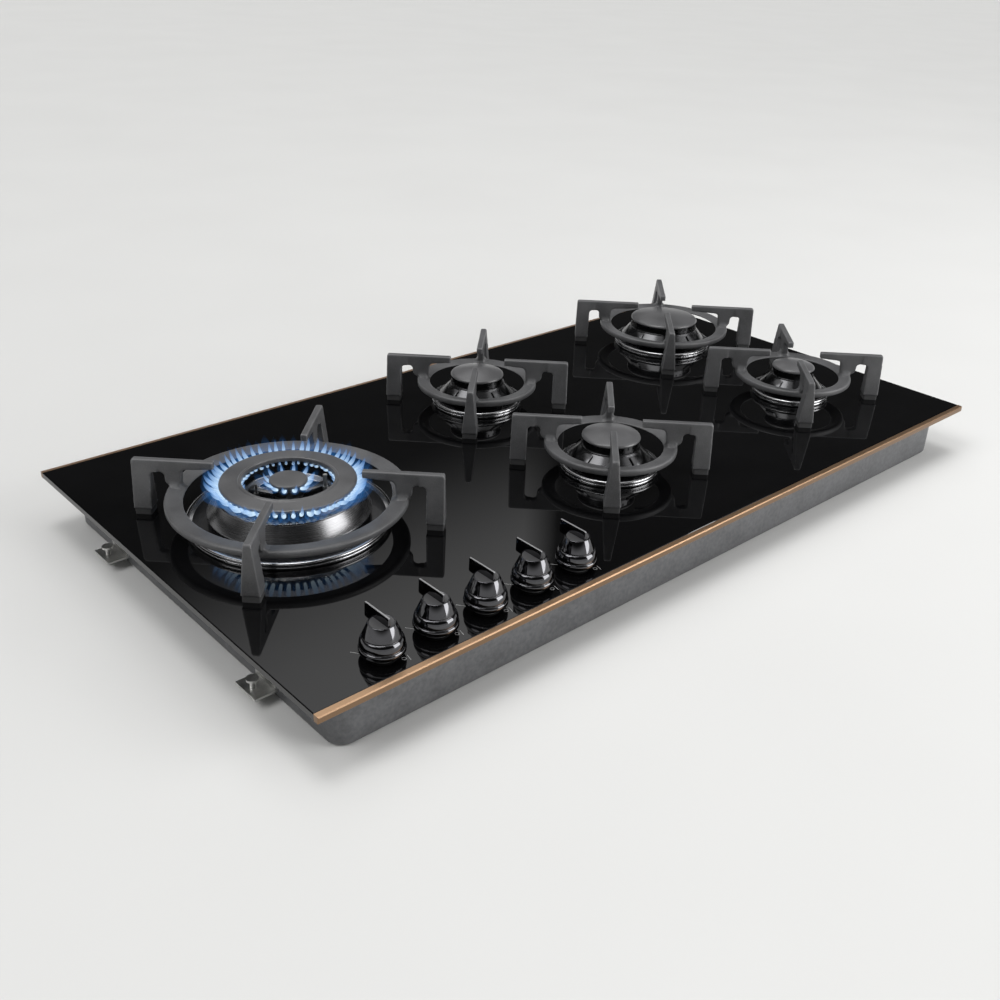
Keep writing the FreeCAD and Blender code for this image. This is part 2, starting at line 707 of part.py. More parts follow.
def make_tap(name):
    x = knob_x[name]
    barrel = cylinder(tap_radius, tap_low, tap_high)
    reach = manifold_y - knob_y
    neck = Part.makeBox(14.0, reach - 2.0, 12.0, App.Vector(-7.0, 2.0, manifold_level - 6.0))
    outlet = Part.makeCylinder(boss_radius - 0.6, tap_radius + tap_outlet - plug_radius,
                               App.Vector(0, plug_radius, pipe_level), App.Vector(0, 1, 0))
    body = barrel.fuse([neck, outlet])
    saddle = Part.makeCylinder(manifold_radius + 0.2, 40.0,
                               App.Vector(-20.0, reach, manifold_level), App.Vector(1, 0, 0))
    bore = cylinder(plug_radius + run_gap, tap_low + 3.0, tap_high + 1)
    body = body.cut(Part.makeCompound([saddle, bore]))
    plug_high = pipe_level + 1.0
    spindle_low = tap_low + 8.0 + push_travel
    plug = cylinder(plug_radius, tap_low + 3.0, plug_high)
    plug = plug.cut(cylinder(spindle_radius + run_gap, tap_low + 7.5, plug_high + 1))
    top = glass_top + spindle_top
    shaft = cylinder(spindle_radius, spindle_low, top)
    flat = Part.makeBox(20, 20, 12.0, App.Vector(-10.0, spindle_radius - spindle_flat, top - 12.0))
    stop = cylinder(spindle_radius + 1.4, plug_high + push_travel + 0.6, plug_high + push_travel + 1.8)
    shaft = shaft.cut(flat).fuse(stop)
    keep("tap_plug_" + name, moved(plug, x, knob_y))
    keep("spindle_" + name, moved(shaft, x, knob_y))
    return moved(body, x, knob_y)


def make_knob(name):
    # Stacked rings below, a cone above, and a thin blade across the top
    top = spindle_top
    bore = spindle_radius + run_gap
    profile = [(bore, top), (bore, knob_gap + 2.0), (bore + 3.0, knob_gap + 2.0),
               (bore + 3.0, knob_cone_high - 7.0), (knob_top_radius - 1.5, knob_cone_high - 7.0),
               (knob_shoulder - 2.0, knob_band_high), (knob_radius - 2.2, knob_band_high - 1.5),
               (knob_radius - 2.2, knob_gap), (knob_radius - 0.6, knob_gap),
               (knob_radius, knob_gap + 1.0), (knob_radius, knob_gap + 2.2),
               (knob_radius - 0.8, knob_gap + 3.0), (knob_radius - 0.8, knob_band_high - 1.6),
               (knob_radius - 1.8, knob_band_high - 1.2), (knob_radius - 1.8, knob_band_high - 0.2),
               (knob_radius - 1.1, knob_band_high + 0.2), (knob_radius - 1.1, knob_band_high + 1.2),
               (knob_shoulder, knob_band_high + 2.2), (knob_top_radius + 0.4, knob_cone_high - 0.6),
               (knob_top_radius, knob_cone_high), (0, knob_cone_high), (0, top)]
    body = turned(profile)
    blade_profile = [(-blade_front, knob_cone_high - 1.0), (knob_top_radius - 2.0, knob_cone_high - 1.0),
                     (blade_back, knob_cone_high + 0.4, 1.5), (blade_back, blade_high, 0.5),
                     (-blade_front, blade_high, 0.5)]
    blade = spun(plate(blade_profile, blade_thick), 90)
    body = body.fuse(blade)
    key = Part.makeBox(2 * bore, bore, 10.0,
                       App.Vector(-bore, spindle_radius - spindle_flat + run_gap, top - 10.0))
    key = key.common(cylinder(bore + 0.5, top - 10.0, top))
    body = body.fuse(key).removeSplitter()
    keep("knob_" + name, moved(body, knob_x[name], knob_y, glass_top))


def make_seal_rings():
    rings = []
    for x in knob_x.values():
        neck = seal_ring_radius - 3.4
        bore = spindle_radius + 1.2
        profile = [(bore, -glass_thick + 1.0), (neck, -glass_thick + 1.0), (neck, 0),
                   (seal_ring_radius, 0), (seal_ring_radius, seal_ring_height - 0.8),
                   (seal_ring_radius - 0.8, seal_ring_height), (bore, seal_ring_height)]
        rings.append(moved(turned(profile), x, knob_y, glass_top))
    keep("knob_seals", rings)


def make_sensors():
    # Beside the small burners they stand on the dish, in the wok burner on the floor of its cup
    electrodes = []
    probes = []
    for name, b in burners.items():
        base = glass_top + dish_floor
        electrode = (b["cap"] + pin_gap, electrode_angle, electrode_high)
        probe = (b["cap"] + pin_gap, probe_angle, probe_high)
        if name == "wok":
            base = cup_low + cup_floor
            electrode = (*wok_electrode, wok_pin_high)
            probe = (*wok_probe, wok_pin_high)
        reach, angle, high = electrode
        ceramic = cylinder(electrode_radius, base, glass_top + high - electrode_tip, reach)
        pin = cylinder(0.9, glass_top + high - electrode_tip, glass_top + high, reach)
        electrodes.append(moved(spun(ceramic.fuse(pin), angle), b["x"], b["y"]))
        reach, angle, high = probe
        sleeve = cylinder(probe_radius + 0.6, base, glass_top + high - probe_tip, reach)
        tip = cylinder(probe_radius, glass_top + high - probe_tip, glass_top + high, reach)
        probes.append(moved(spun(sleeve.fuse(tip), angle), b["x"], b["y"]))
    keep("spark_electrodes", electrodes)
    keep("flame_probes", probes)


def make_electrics():
    length, width, height = generator_size
    x, y = generator_place
    case = Part.makeBox(length, width, height, App.Vector(x, y, tray_sheet))
    posts = [Part.makeBox(6.0, 5.0, 7.0, App.Vector(x + 8.0 + 12.0 * i, y - 5.0, tray_sheet + 12.0))
             for i in range(5)]
    keep("spark_generator", case.fuse(posts))
    rear = tray_width / 2.0
    axis = App.Vector(0, 1, 0)
    flange = Part.makeCylinder(gland_radius + 2.0, 3.0, App.Vector(gland_x, rear, gland_level), axis)
    nose = Part.makeCylinder(gland_radius - 1.0, 8.0, App.Vector(gland_x, rear + 3.0, gland_level), axis)
    neck = Part.makeCylinder(gland_radius - 1.8, 12.0, App.Vector(gland_x, rear - 12.0, gland_level), axis)
    hole = Part.makeCylinder(gland_bore, 30.0, App.Vector(gland_x, rear - 15.0, gland_level), axis)
    keep("cable_gland", flange.fuse([nose, neck]).cut(hole))


def make_brackets():
    # Angle brackets on the tray's ends; a screw in each foot clamps up against the worktop
    brackets = []
    screws = []
    wall_screws = []
    wall = tray_length / 2.0
    foot = wall + bracket_reach
    pad_low = seat_level - worktop_thick - clamp_pad
    for side in (-1.0, 1.0):
        for y in (-bracket_y, bracket_y):
            profile = [(wall, bracket_low), (foot, bracket_low), (foot, bracket_low + bracket_thick),
                       (wall + bracket_thick, bracket_low + bracket_thick),
                       (wall + bracket_thick, bracket_high), (wall, bracket_high)]
            angle = plate(profile, bracket_width)
            hole_x = foot - 7.0
            angle = angle.cut(cylinder(clamp_radius + 0.05, bracket_low - 1, bracket_low + 5, hole_x))
            across = App.Vector(1, 0, 0)
            inside = App.Vector(wall - tray_sheet - 4.0, 0, wall_screw_level)
            outside = App.Vector(wall + bracket_thick, 0, wall_screw_level)
            shank = Part.makeCylinder(wall_screw, tray_sheet + bracket_thick + 4.0, inside, across)
            button = Part.makeCylinder(wall_screw + 1.8, 2.0, outside, across)
            angle = angle.cut(Part.makeCylinder(wall_screw + run_gap, 12.0, inside, across))
            screw = cylinder(clamp_radius, bracket_low - 4.0, pad_low, hole_x)
            head = cylinder(clamp_radius + 2.2, bracket_low - 4.0, bracket_low - 1.0, hole_x)
            pad = cylinder(clamp_radius + 2.6, pad_low, pad_low + clamp_pad, hole_x)
            for solid, group in ((angle, brackets), (screw.fuse([head, pad]), screws),
                                 (shank.fuse(button), wall_screws)):
                turn = 180.0 if side < 0 else 0.0
                group.append(moved(spun(solid, turn), 0, y))
    keep("fixing_brackets", brackets)
    keep("fixing_screws", screws + wall_screws)


def main():
    make_glass()
    make_trims()
    make_seal()
    make_tray()
    for name, b in burners.items():
        make_dish(name, b)
        make_support(name, b)
        if name != "wok":
            make_crown(name, b)
            make_cap(name, b)
    make_wok_head(burners["wok"])
    make_cups()
    make_pipes()
    keep("tap_bodies", [make_tap(name) for name in burner_names])
    for name in burner_names:
        make_knob(name)
    make_seal_rings()
    make_sensors()
    make_electrics()
    make_brackets()
    os.makedirs("parts", exist_ok=True)
    for name in sorted(pieces):
        shape = pieces[name]
        print(name, len(shape.Solids), round(shape.Volume, 1), shape.isValid())
        shape.exportStep("parts/" + name + ".step")
    print(len(pieces), "nodes")


main()
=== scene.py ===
import bmesh
import bpy
import math
import random
from mathutils import Euler, Matrix, Vector


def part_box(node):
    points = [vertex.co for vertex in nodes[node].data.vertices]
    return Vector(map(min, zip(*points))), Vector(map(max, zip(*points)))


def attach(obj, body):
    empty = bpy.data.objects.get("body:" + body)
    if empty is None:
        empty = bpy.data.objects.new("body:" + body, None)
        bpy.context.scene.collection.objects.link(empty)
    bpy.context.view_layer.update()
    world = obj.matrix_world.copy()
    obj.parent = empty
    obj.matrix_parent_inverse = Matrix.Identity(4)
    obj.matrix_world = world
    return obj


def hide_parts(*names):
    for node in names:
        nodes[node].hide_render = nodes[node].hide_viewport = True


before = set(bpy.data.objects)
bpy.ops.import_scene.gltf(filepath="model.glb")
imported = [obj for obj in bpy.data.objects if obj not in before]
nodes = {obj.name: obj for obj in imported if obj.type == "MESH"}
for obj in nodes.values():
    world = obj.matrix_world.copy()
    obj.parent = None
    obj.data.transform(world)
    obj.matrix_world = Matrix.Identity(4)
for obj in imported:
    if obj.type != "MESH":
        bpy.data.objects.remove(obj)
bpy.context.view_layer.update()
mm = 0.001
burnerNames = ["wok", "rear_centre", "front_centre", "rear_right", "front_right"]
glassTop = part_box("glass_top")[1].z
print("frame loaded:", len(nodes), "nodes")


def middleOf(node):
    low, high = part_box(node)
    return (low + high) / 2


def halfWidth(node):
    low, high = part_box(node)
    return (high.x - low.x) / 2


class Wire:
    # An output socket. Sums and products of wires add the Math nodes they need.
    def __init__(self, tree, socket=None):
        self.tree = tree
        self.socket = socket

    def node(self, kind, settings=None, sockets=None, output=0):
        made = self.tree.nodes.new(kind)
        for key, value in (settings or {}).items():
            if key == "stops":
                fillRamp(made.color_ramp, value)
            else:
                setattr(made, key, value)
        for key, value in (sockets or {}).items():
            if isinstance(value, Wire):
                self.tree.links.new(value.socket, made.inputs[key])
            else:
                made.inputs[key].default_value = value
        return Wire(self.tree, made.outputs[output])

    def calc(self, operation, other, swapped=False):
        pair = (other, self) if swapped else (self, other)
        return self.node("ShaderNodeMath", {"operation": operation}, {0: pair[0], 1: pair[1]})

    def __add__(self, other):
        return self.calc("ADD", other)

    def __sub__(self, other):
        return self.calc("SUBTRACT", other)

    def __rsub__(self, other):
        return self.calc("SUBTRACT", other, True)

    def __mul__(self, other):
        return self.calc("MULTIPLY", other)

    __radd__ = __add__
    __rmul__ = __mul__


def fillRamp(ramp, stops):
    for place, value in stops[2:]:
        ramp.elements.new(place)
    for element, (place, value) in zip(ramp.elements, stops):
        element.position = place
        element.color = value if isinstance(value, tuple) else (value, value, value, 1)


def newFinish(name, values):
    material = bpy.data.materials.new(name)
    material.use_nodes = True
    shader = material.node_tree.nodes["Principled BSDF"]
    for socket, value in values.items():
        shader.inputs[socket].default_value = value
    return material, shader, Wire(material.node_tree)


def feed(shader, socket, wire):
    wire.tree.links.new(wire.socket, shader.inputs[socket])


def blendColours(start, share, first, second):
    # Either end is a colour of three numbers or a wire
    ends = [end if isinstance(end, Wire) else (*end, 1) for end in (first, second)]
    return start.node("ShaderNodeMix", {"data_type": "RGBA"}, {0: share, 6: ends[0], 7: ends[1]}, 2)


def ranged(start, value, low, high, first=0.0, last=1.0, kind="LINEAR"):
    # First where the value is low or less, last where it is high or more
    return start.node("ShaderNodeMapRange", {"interpolation_type": kind},
                      {0: value, 1: low, 2: high, 3: first, 4: last})


finishLook = {
    "mottle": (0.36, 0.64), "worn": (0.52, 0.60), "haze": (0.45, 0.75), "upward": (0.5, 0.9),
    "ringSlant": 1.3, "patchGloss": 0.08,
}


def noise(start, place, scale, detail=2.0, rough=0.5):
    return start.node("ShaderNodeTexNoise", {},
                      {"Vector": place, "Scale": scale, "Detail": detail, "Roughness": rough})


def bumpOf(start, height, strength, distance):
    return start.node("ShaderNodeBump", {},
                      {"Height": height, "Strength": strength, "Distance": distance})


def grainFinish(name, look):
    # Matt and satin finishes: soft patches in colour and gloss, a fine grain that stands up a little, and
    # for the castings a paler tone where the surface bends outwards, partly edge wear and partly a painted
    # highlight
    material, shader, start = newFinish(name, look["shader"])
    place = start.node("ShaderNodeTexCoord", {}, {}, "Object")
    patches = noise(start, place, look["patchScale"], 3.0)
    grain = noise(start, place, look["grainScale"], 3.0, 0.6)
    mottle = patches * (1 - look["grainShare"]) + grain * look["grainShare"]
    share = ranged(start, mottle, *finishLook["mottle"])
    colour = blendColours(start, share, look["dark"], look["light"])
    if "edge" in look:
        # Paler where Pointiness is high: partly edge wear, partly a painted highlight along the edges
        bend = start.node("ShaderNodeNewGeometry", {}, {}, "Pointiness")
        colour = blendColours(start, ranged(start, bend, *finishLook["worn"]), colour, look["edge"])
    feed(shader, "Base Color", colour)
    feed(shader, "Roughness", look["rough"] + (patches - 0.5) * look["roughSpread"])
    feed(shader, "Normal", bumpOf(start, grain, look["bump"], look["bumpHeight"]))
    return material


def latheFinish(name, look, centre):
    # Turned metal: fine rings round the piece's own axis, in the height and in the gloss
    material, shader, start = newFinish(name, look["shader"])
    place = start.node("ShaderNodeTexCoord", {}, {}, "Object")
    centred = start.node("ShaderNodeMapping", {},
                         {"Vector": place, "Location": (-centre.x, -centre.y, 0)})
    flat = start.node("ShaderNodeVectorMath", {"operation": "MULTIPLY"}, {0: centred, 1: (1, 1, 0)})
    radius = start.node("ShaderNodeVectorMath", {"operation": "LENGTH"}, {0: flat}, "Value")
    parts = start.node("ShaderNodeSeparateXYZ", {}, {0: place}, "Z")
    across = radius + parts * finishLook["ringSlant"]
    rings = start.node("ShaderNodeTexNoise", {"noise_dimensions": "1D"},
                       {"W": across, "Scale": look["ringScale"], "Detail": 2.0})
    patches = noise(start, place, look["patchScale"], 3.0)
    feed(shader, "Base Color", blendColours(start, patches, look["dark"], look["light"]))
    feed(shader, "Roughness", look["rough"] + (rings - 0.5) * look["roughSpread"]
         + (patches - 0.5) * finishLook["patchGloss"])
    feed(shader, "Normal", bumpOf(start, rings, look["bump"], look["bumpHeight"]))
    return material


def brushedFinish(name, look):
    # Long brushed streaks along X. Faces that don't look up are darkened in colour: painted shade for the
    # lesser light that falls on them.
    material, shader, start = newFinish(name, look["shader"])
    place = start.node("ShaderNodeTexCoord", {}, {}, "Object")
    stretched = start.node("ShaderNodeMapping", {}, {"Vector": place, "Scale": look["stretch"]})
    streaks = noise(start, stretched, look["streakScale"], 4.0, 0.65)
    patches = noise(start, place, look["patchScale"], 2.0)
    facing = start.node("ShaderNodeTexCoord", {}, {}, "Normal")
    upward = start.node("ShaderNodeSeparateXYZ", {}, {0: facing}, "Z")
    # Painted shade: the colour is scaled down on faces that turn away from up
    paintedShade = ranged(start, upward, *finishLook["upward"], look["paintedSideShade"])
    colour = blendColours(start, patches * 0.5 + streaks * 0.5, look["dark"], look["light"])
    feed(shader, "Base Color", start.node("ShaderNodeVectorMath", {"operation": "SCALE"},
                                          {0: colour, "Scale": paintedShade}))
    feed(shader, "Roughness", look["rough"] + (streaks - 0.5) * look["roughSpread"])
    feed(shader, "Normal", bumpOf(start, streaks, look["bump"], look["bumpHeight"]))
    return material


def glassFinish(name, look):
    # Black enamelled glass: nearly black under a hard polish, with the faintest haze from wiping
    material, shader, start = newFinish(name, look["shader"])
    place = start.node("ShaderNodeTexCoord", {}, {}, "Object")
    haze = noise(start, place, look["hazeScale"], 4.0, 0.6)
    wiped = ranged(start, haze, *finishLook["haze"])
    feed(shader, "Roughness", look["rough"] + wiped * look["roughSpread"])
    feed(shader, "Base Color", blendColours(start, wiped, look["dark"], look["light"]))
    return material


def flameFinish(name, look):
    # The attribute "along" runs from 0 at the port to 1 at the tip
    material, shader, start = newFinish(name, look["shader"])
    along = start.node("ShaderNodeAttribute", {"attribute_name": "along"}, {}, "Fac")
    colour = start.node("ShaderNodeValToRGB", {"stops": look["colours"]}, {0: along})
    fade = start.node("ShaderNodeValToRGB", {"stops": look["fade"]}, {0: along})
    feed(shader, "Emission Color", colour)
    feed(shader, "Alpha", fade)
    return material


metal = {"Metallic": 1.0}
finishes = {
    # The castings' edge colour is partly wear and partly a painted highlight
    "castIron": grainFinish("castIron", {
        "shader": {"Specular IOR Level": 0.45}, "patchScale": 38, "grainScale": 1100, "grainShare": 0.45,
        "dark": (0.054, 0.054, 0.056), "light": (0.096, 0.097, 0.100), "edge": (0.20, 0.20, 0.205),
        "rough": 0.46, "roughSpread": 0.16, "bump": 0.34, "bumpHeight": 0.00022}),
    "capEnamel": grainFinish("capEnamel", {
        "shader": {"Specular IOR Level": 0.5}, "patchScale": 30, "grainScale": 900, "grainShare": 0.3,
        "dark": (0.070, 0.070, 0.072), "light": (0.102, 0.102, 0.105),
        "rough": 0.30, "roughSpread": 0.10, "bump": 0.12, "bumpHeight": 0.0001}),
    "dishEnamel": grainFinish("dishEnamel", {
        "shader": {"Coat Weight": 0.6, "Coat Roughness": 0.08}, "patchScale": 25, "grainScale": 700,
        "grainShare": 0.3, "dark": (0.006, 0.006, 0.007), "light": (0.012, 0.012, 0.013),
        "rough": 0.25, "roughSpread": 0.08, "bump": 0.08, "bumpHeight": 0.0001}),
    "rubber": grainFinish("rubber", {
        "shader": {}, "patchScale": 60, "grainScale": 1400, "grainShare": 0.4,
        "dark": (0.030, 0.030, 0.031), "light": (0.055, 0.055, 0.056),
        "rough": 0.72, "roughSpread": 0.12, "bump": 0.3, "bumpHeight": 0.0001}),
    "foam": grainFinish("foam", {
        "shader": {}, "patchScale": 90, "grainScale": 1600, "grainShare": 0.6,
        "dark": (0.012, 0.012, 0.012), "light": (0.030, 0.030, 0.030),
        "rough": 0.92, "roughSpread": 0.06, "bump": 0.6, "bumpHeight": 0.0003}),
    "unitPlastic": grainFinish("unitPlastic", {
        "shader": {}, "patchScale": 50, "grainScale": 1500, "grainShare": 0.4,
        "dark": (0.018, 0.018, 0.019), "light": (0.032, 0.032, 0.033),
        "rough": 0.46, "roughSpread": 0.10, "bump": 0.22, "bumpHeight": 0.0001}),
    "ceramic": grainFinish("ceramic", {
        "shader": {"Coat Weight": 0.5, "Coat Roughness": 0.1}, "patchScale": 200, "grainScale": 1500,
        "grainShare": 0.4, "dark": (0.020, 0.019, 0.018), "light": (0.045, 0.042, 0.040),
        "rough": 0.30, "roughSpread": 0.10, "bump": 0.1, "bumpHeight": 0.00005}),
    "castAluminium": grainFinish("castAluminium", {
        "shader": metal, "patchScale": 45, "grainScale": 900, "grainShare": 0.5,
        "dark": (0.38, 0.38, 0.39), "light": (0.55, 0.55, 0.56),
        "rough": 0.52, "roughSpread": 0.18, "bump": 0.35, "bumpHeight": 0.0002}),
    "traySteel": grainFinish("traySteel", {
        "shader": {"Metallic": 0.6}, "patchScale": 55, "grainScale": 260, "grainShare": 0.6,
        "dark": (0.110, 0.112, 0.116), "light": (0.160, 0.162, 0.168),
        "rough": 0.44, "roughSpread": 0.16, "bump": 0.06, "bumpHeight": 0.0001}),
    "zincSteel": grainFinish("zincSteel", {
        "shader": metal, "patchScale": 120, "grainScale": 900, "grainShare": 0.4,
        "dark": (0.46, 0.46, 0.45), "light": (0.62, 0.62, 0.60),
        "rough": 0.36, "roughSpread": 0.16, "bump": 0.10, "bumpHeight": 0.0001}),
    "brass": grainFinish("brass", {
        "shader": metal, "patchScale": 90, "grainScale": 800, "grainShare": 0.4,
        "dark": (0.48, 0.34, 0.14), "light": (0.66, 0.49, 0.22),
        "rough": 0.32, "roughSpread": 0.14, "bump": 0.08, "bumpHeight": 0.0001}),
    "pipeAluminium": grainFinish("pipeAluminium", {
        "shader": metal, "patchScale": 60, "grainScale": 700, "grainShare": 0.3,
        "dark": (0.52, 0.52, 0.53), "light": (0.66, 0.66, 0.67),
        "rough": 0.36, "roughSpread": 0.14, "bump": 0.08, "bumpHeight": 0.0001}),
    # The copper's front faces carry painted shade, down to 0.45 of their colour
    "copper": brushedFinish("copper", {
        "shader": metal, "stretch": (0.02, 1, 1), "streakScale": 1500, "patchScale": 9,
        "dark": (0.46, 0.29, 0.175), "light": (0.60, 0.39, 0.24), "paintedSideShade": 0.45,
        "rough": 0.34, "roughSpread": 0.16, "bump": 0.10, "bumpHeight": 0.00005}),
    "blackGlass": glassFinish("blackGlass", {
        "shader": {"IOR": 1.5}, "hazeScale": 9, "dark": (0.0016, 0.0016, 0.0018),
        "light": (0.0030, 0.0030, 0.0033), "rough": 0.022, "roughSpread": 0.03}),
    "print": grainFinish("print", {
        "shader": {}, "patchScale": 300, "grainScale": 2500, "grainShare": 0.5,
        "dark": (0.30, 0.30, 0.30), "light": (0.42, 0.42, 0.42),
        "rough": 0.55, "roughSpread": 0.10, "bump": 0.1, "bumpHeight": 0.00003}),
    "flame": flameFinish("flame", {
        "shader": {"Base Color": (0, 0, 0, 1), "Roughness": 1.0, "Specular IOR Level": 0.0,
                   "Emission Strength": 1.15},
        "colours": [(0.0, (0.75, 0.93, 1.0, 1)), (1.0, (0.05, 0.26, 0.75, 1)),
                    (0.20, (0.42, 0.74, 1.0, 1)), (0.55, (0.12, 0.44, 0.95, 1))],
        "fade": [(0.0, 0.85), (1.0, 0.0), (0.22, 0.42), (0.65, 0.20)]}),
    "flameGlow": flameFinish("flameGlow", {
        "shader": {"Base Color": (0, 0, 0, 1), "Roughness": 1.0, "Specular IOR Level": 0.0,
                   "Emission Strength": 1.0},
        "colours": [(0.0, (0.06, 0.30, 0.85, 1)), (1.0, (0.04, 0.22, 0.60, 1)),
                    (0.5, (0.05, 0.34, 0.80, 1))],
        "fade": [(0.0, 0.10), (1.0, 0.0), (0.2, 0.26), (0.6, 0.20)]}),
}
turnedLooks = {
    "burnerMetal": {"shader": metal, "ringScale": 2600, "patchScale": 40, "dark": (0.14, 0.14, 0.143),
                    "light": (0.20, 0.20, 0.204), "rough": 0.27, "roughSpread": 0.14, "bump": 0.12,
                    "bumpHeight": 0.00006},
    "crownMetal": {"shader": metal, "ringScale": 2600, "patchScale": 40, "dark": (0.055, 0.055, 0.057),
                   "light": (0.085, 0.085, 0.088), "rough": 0.22, "roughSpread": 0.10, "bump": 0.08,
                   "bumpHeight": 0.00005},
    "dishRing": {"shader": metal, "ringScale": 3000, "patchScale": 60, "dark": (0.42, 0.42, 0.43),
                 "light": (0.52, 0.52, 0.53), "rough": 0.20, "roughSpread": 0.06, "bump": 0.05,
                 "bumpHeight": 0.00003},
    "knobFace": {"shader": {}, "ringScale": 3600, "patchScale": 80, "dark": (0.060, 0.060, 0.062),
                 "light": (0.078, 0.078, 0.080), "rough": 0.34, "roughSpread": 0.08, "bump": 0.05,
                 "bumpHeight": 0.00002},
    # Painted highlight: a pale satin on the blade's top edge
    "knobEdge": {"shader": {}, "ringScale": 3600, "patchScale": 80, "dark": (0.22, 0.22, 0.225),
                 "light": (0.28, 0.28, 0.285), "rough": 0.30, "roughSpread": 0.08, "bump": 0.05,
                 "bumpHeight": 0.00002},
    "knobChrome": {"shader": metal, "ringScale": 3600, "patchScale": 80, "dark": (0.075, 0.075, 0.08),
                   "light": (0.11, 0.11, 0.115), "rough": 0.06, "roughSpread": 0.04, "bump": 0.03,
                   "bumpHeight": 0.00002},
}


def turnedFinish(look, owner, centre):
    return latheFinish(look + "_" + owner, turnedLooks[look], centre)


print("finishes made:", len(finishes))


view = {
    "place": (-0.76812, -0.76478, 0.54931),
    "heading": (0.59962, 0.64969, -0.46729),
    "roll": 2.096,
    "lens": 39.65,
    "sensor": 36.0,
    "clip": (0.02, 200.0),
    "floorSize": 90.0,
    "floorLevel": 0.00005,
    "floorPaint": {"Roughness": 0.85, "Specular IOR Level": 0.2},
    "floorColours": ((0.64, 0.64, 0.63), (0.68, 0.68, 0.67)),
    "floorPatches": 3.0,
}


def makeCamera():
    camera = bpy.data.objects.new("camera", bpy.data.cameras.new("camera"))
    camera.data.lens = view["lens"]
    camera.data.sensor_width = view["sensor"]
    camera.data.clip_start, camera.data.clip_end = view["clip"]
    camera.location = view["place"]
    level = Vector(view["heading"]).to_track_quat("-Z", "Y").to_matrix()
    tilt = Matrix.Rotation(math.radians(view["roll"]), 3, "Z")
    camera.rotation_euler = (level @ tilt).to_euler()
    bpy.context.scene.collection.objects.link(camera)
    bpy.context.scene.camera = camera


def makeFloor():
    # A hair above the tray's underside, and clear from below, so that the underside can be looked at
    bm = bmesh.new()
    bmesh.ops.create_grid(bm, x_segments=1, y_segments=1, size=view["floorSize"] / 2,
                          matrix=Matrix.Translation((0, 0, view["floorLevel"])))
    mesh = bpy.data.meshes.new("floor")
    bm.to_mesh(mesh)
    bm.free()
    floor = bpy.data.objects.new("floor", mesh)
    bpy.context.scene.collection.objects.link(floor)
    material, shader, start = newFinish("floorPaint", view["floorPaint"])
    place = start.node("ShaderNodeTexCoord", {}, {}, "Object")
    patches = noise(start, place, view["floorPatches"])
    feed(shader, "Base Color", blendColours(start, patches, *view["floorColours"]))
    feed(shader, "Alpha", 1 - start.node("ShaderNodeNewGeometry", {}, {}, "Backfacing"))
    mesh.materials.append(material)


# Each pair is where a band starts and ends, and any numbers after it are the light at those two places
skyLook = {
    "horizon": (0.10, 0.26, 0.75, 0.035),
    "window": (0.44, 0.62), "windowHeading": (0.2474, -0.1429, 0.9583),
    "cut": (-0.01, 0.02), "cutHeading": (-0.7009, 0.7133, 0),
    "dome": (0.66, 0.78), "domePower": 0.9,
    "far": (-0.25, 0.05, 0.15), "farHeading": (0.7, 0.7, 0),
}


def makeSky():
    # Pale at the horizon, dark above it where the glass looks, and light from high up on the far side
    world = bpy.data.worlds.new("studio")
    bpy.context.scene.world = world
    world.use_nodes = True
    background = world.node_tree.nodes["Background"]
    start = Wire(world.node_tree)
    heading = start.node("ShaderNodeTexCoord", {}, {}, "Generated")
    height = start.node("ShaderNodeSeparateXYZ", {}, {0: heading}, "Z")

    def band(key, value, kind="SMOOTHSTEP"):
        return ranged(start, value, *skyLook[key], kind=kind)

    def towards(key):
        return start.node("ShaderNodeVectorMath", {"operation": "DOT_PRODUCT"},
                          {0: heading, 1: skyLook[key]}, "Value")

    window = band("window", towards("windowHeading")) * band("cut", towards("cutHeading"), "LINEAR")
    dome = band("dome", height) * band("far", towards("farHeading")) * skyLook["domePower"]
    high = start.node("ShaderNodeMath", {"operation": "MAXIMUM"}, {0: window, 1: dome})
    feed(background, "Strength", band("horizon", height) + high)
    background.inputs["Color"].default_value = (1.0, 1.0, 1.0, 1.0)


lamps = {
    "left": {"side": 168, "height": 48, "angle": 32, "power": 1.15},
    "frontRight": {"side": -48, "height": 42, "angle": 40, "power": 0.35},
    "above": {"side": 90, "height": 84, "angle": 22, "power": 0.80},
}
panel = {"place": (1.6, -2.4, 0.8), "target": (0.3, 0.05, 0.05), "size": 1.9, "power": 74.0}


def addLamp(name, kind, power):
    data = bpy.data.lights.new(name, kind)
    data.energy = power
    lamp = bpy.data.objects.new(name, data)
    bpy.context.scene.collection.objects.link(lamp)
    return lamp


def makeLamps():
    # Wide suns stand in for large soft panels; side is counted from +X towards +Y
    for name, look in lamps.items():
        lamp = addLamp(name, "SUN", look["power"])
        lamp.data.angle = math.radians(look["angle"])
        lamp.rotation_euler = (0, math.radians(90 - look["height"]), math.radians(look["side"]))
    lamp = addLamp("panel", "AREA", panel["power"])
    lamp.data.size = panel["size"]
    lamp.location = panel["place"]
    reach = Vector(panel["target"]) - Vector(panel["place"])
    lamp.rotation_euler = reach.to_track_quat("-Z", "Y").to_euler()


makeCamera()
makeFloor()
makeSky()
makeLamps()
bpy.context.scene.view_settings.view_transform = "Standard"
print("camera, floor and light made")


def finishPiece(name, bm, materials, body, replaced=(), sharp=38.0):
    bmesh.ops.remove_doubles(bm, verts=bm.verts[:], dist=1e-6)
    bmesh.ops.recalc_face_normals(bm, faces=bm.faces[:])
    mesh = bpy.data.meshes.new(name)
    bm.to_mesh(mesh)
    bm.free()
    return placePiece(name, mesh, materials, body, replaced, sharp)


def placePiece(name, mesh, materials, body, replaced=(), sharp=38.0):
    for material in materials:
        mesh.materials.append(material)
    mesh.shade_smooth()
    mesh.set_sharp_from_angle(angle=math.radians(sharp))
    piece = bpy.data.objects.new(name, mesh)
    bpy.context.scene.collection.objects.link(piece)
    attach(piece, body)
    if replaced:
        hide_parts(*replaced)
    return piece


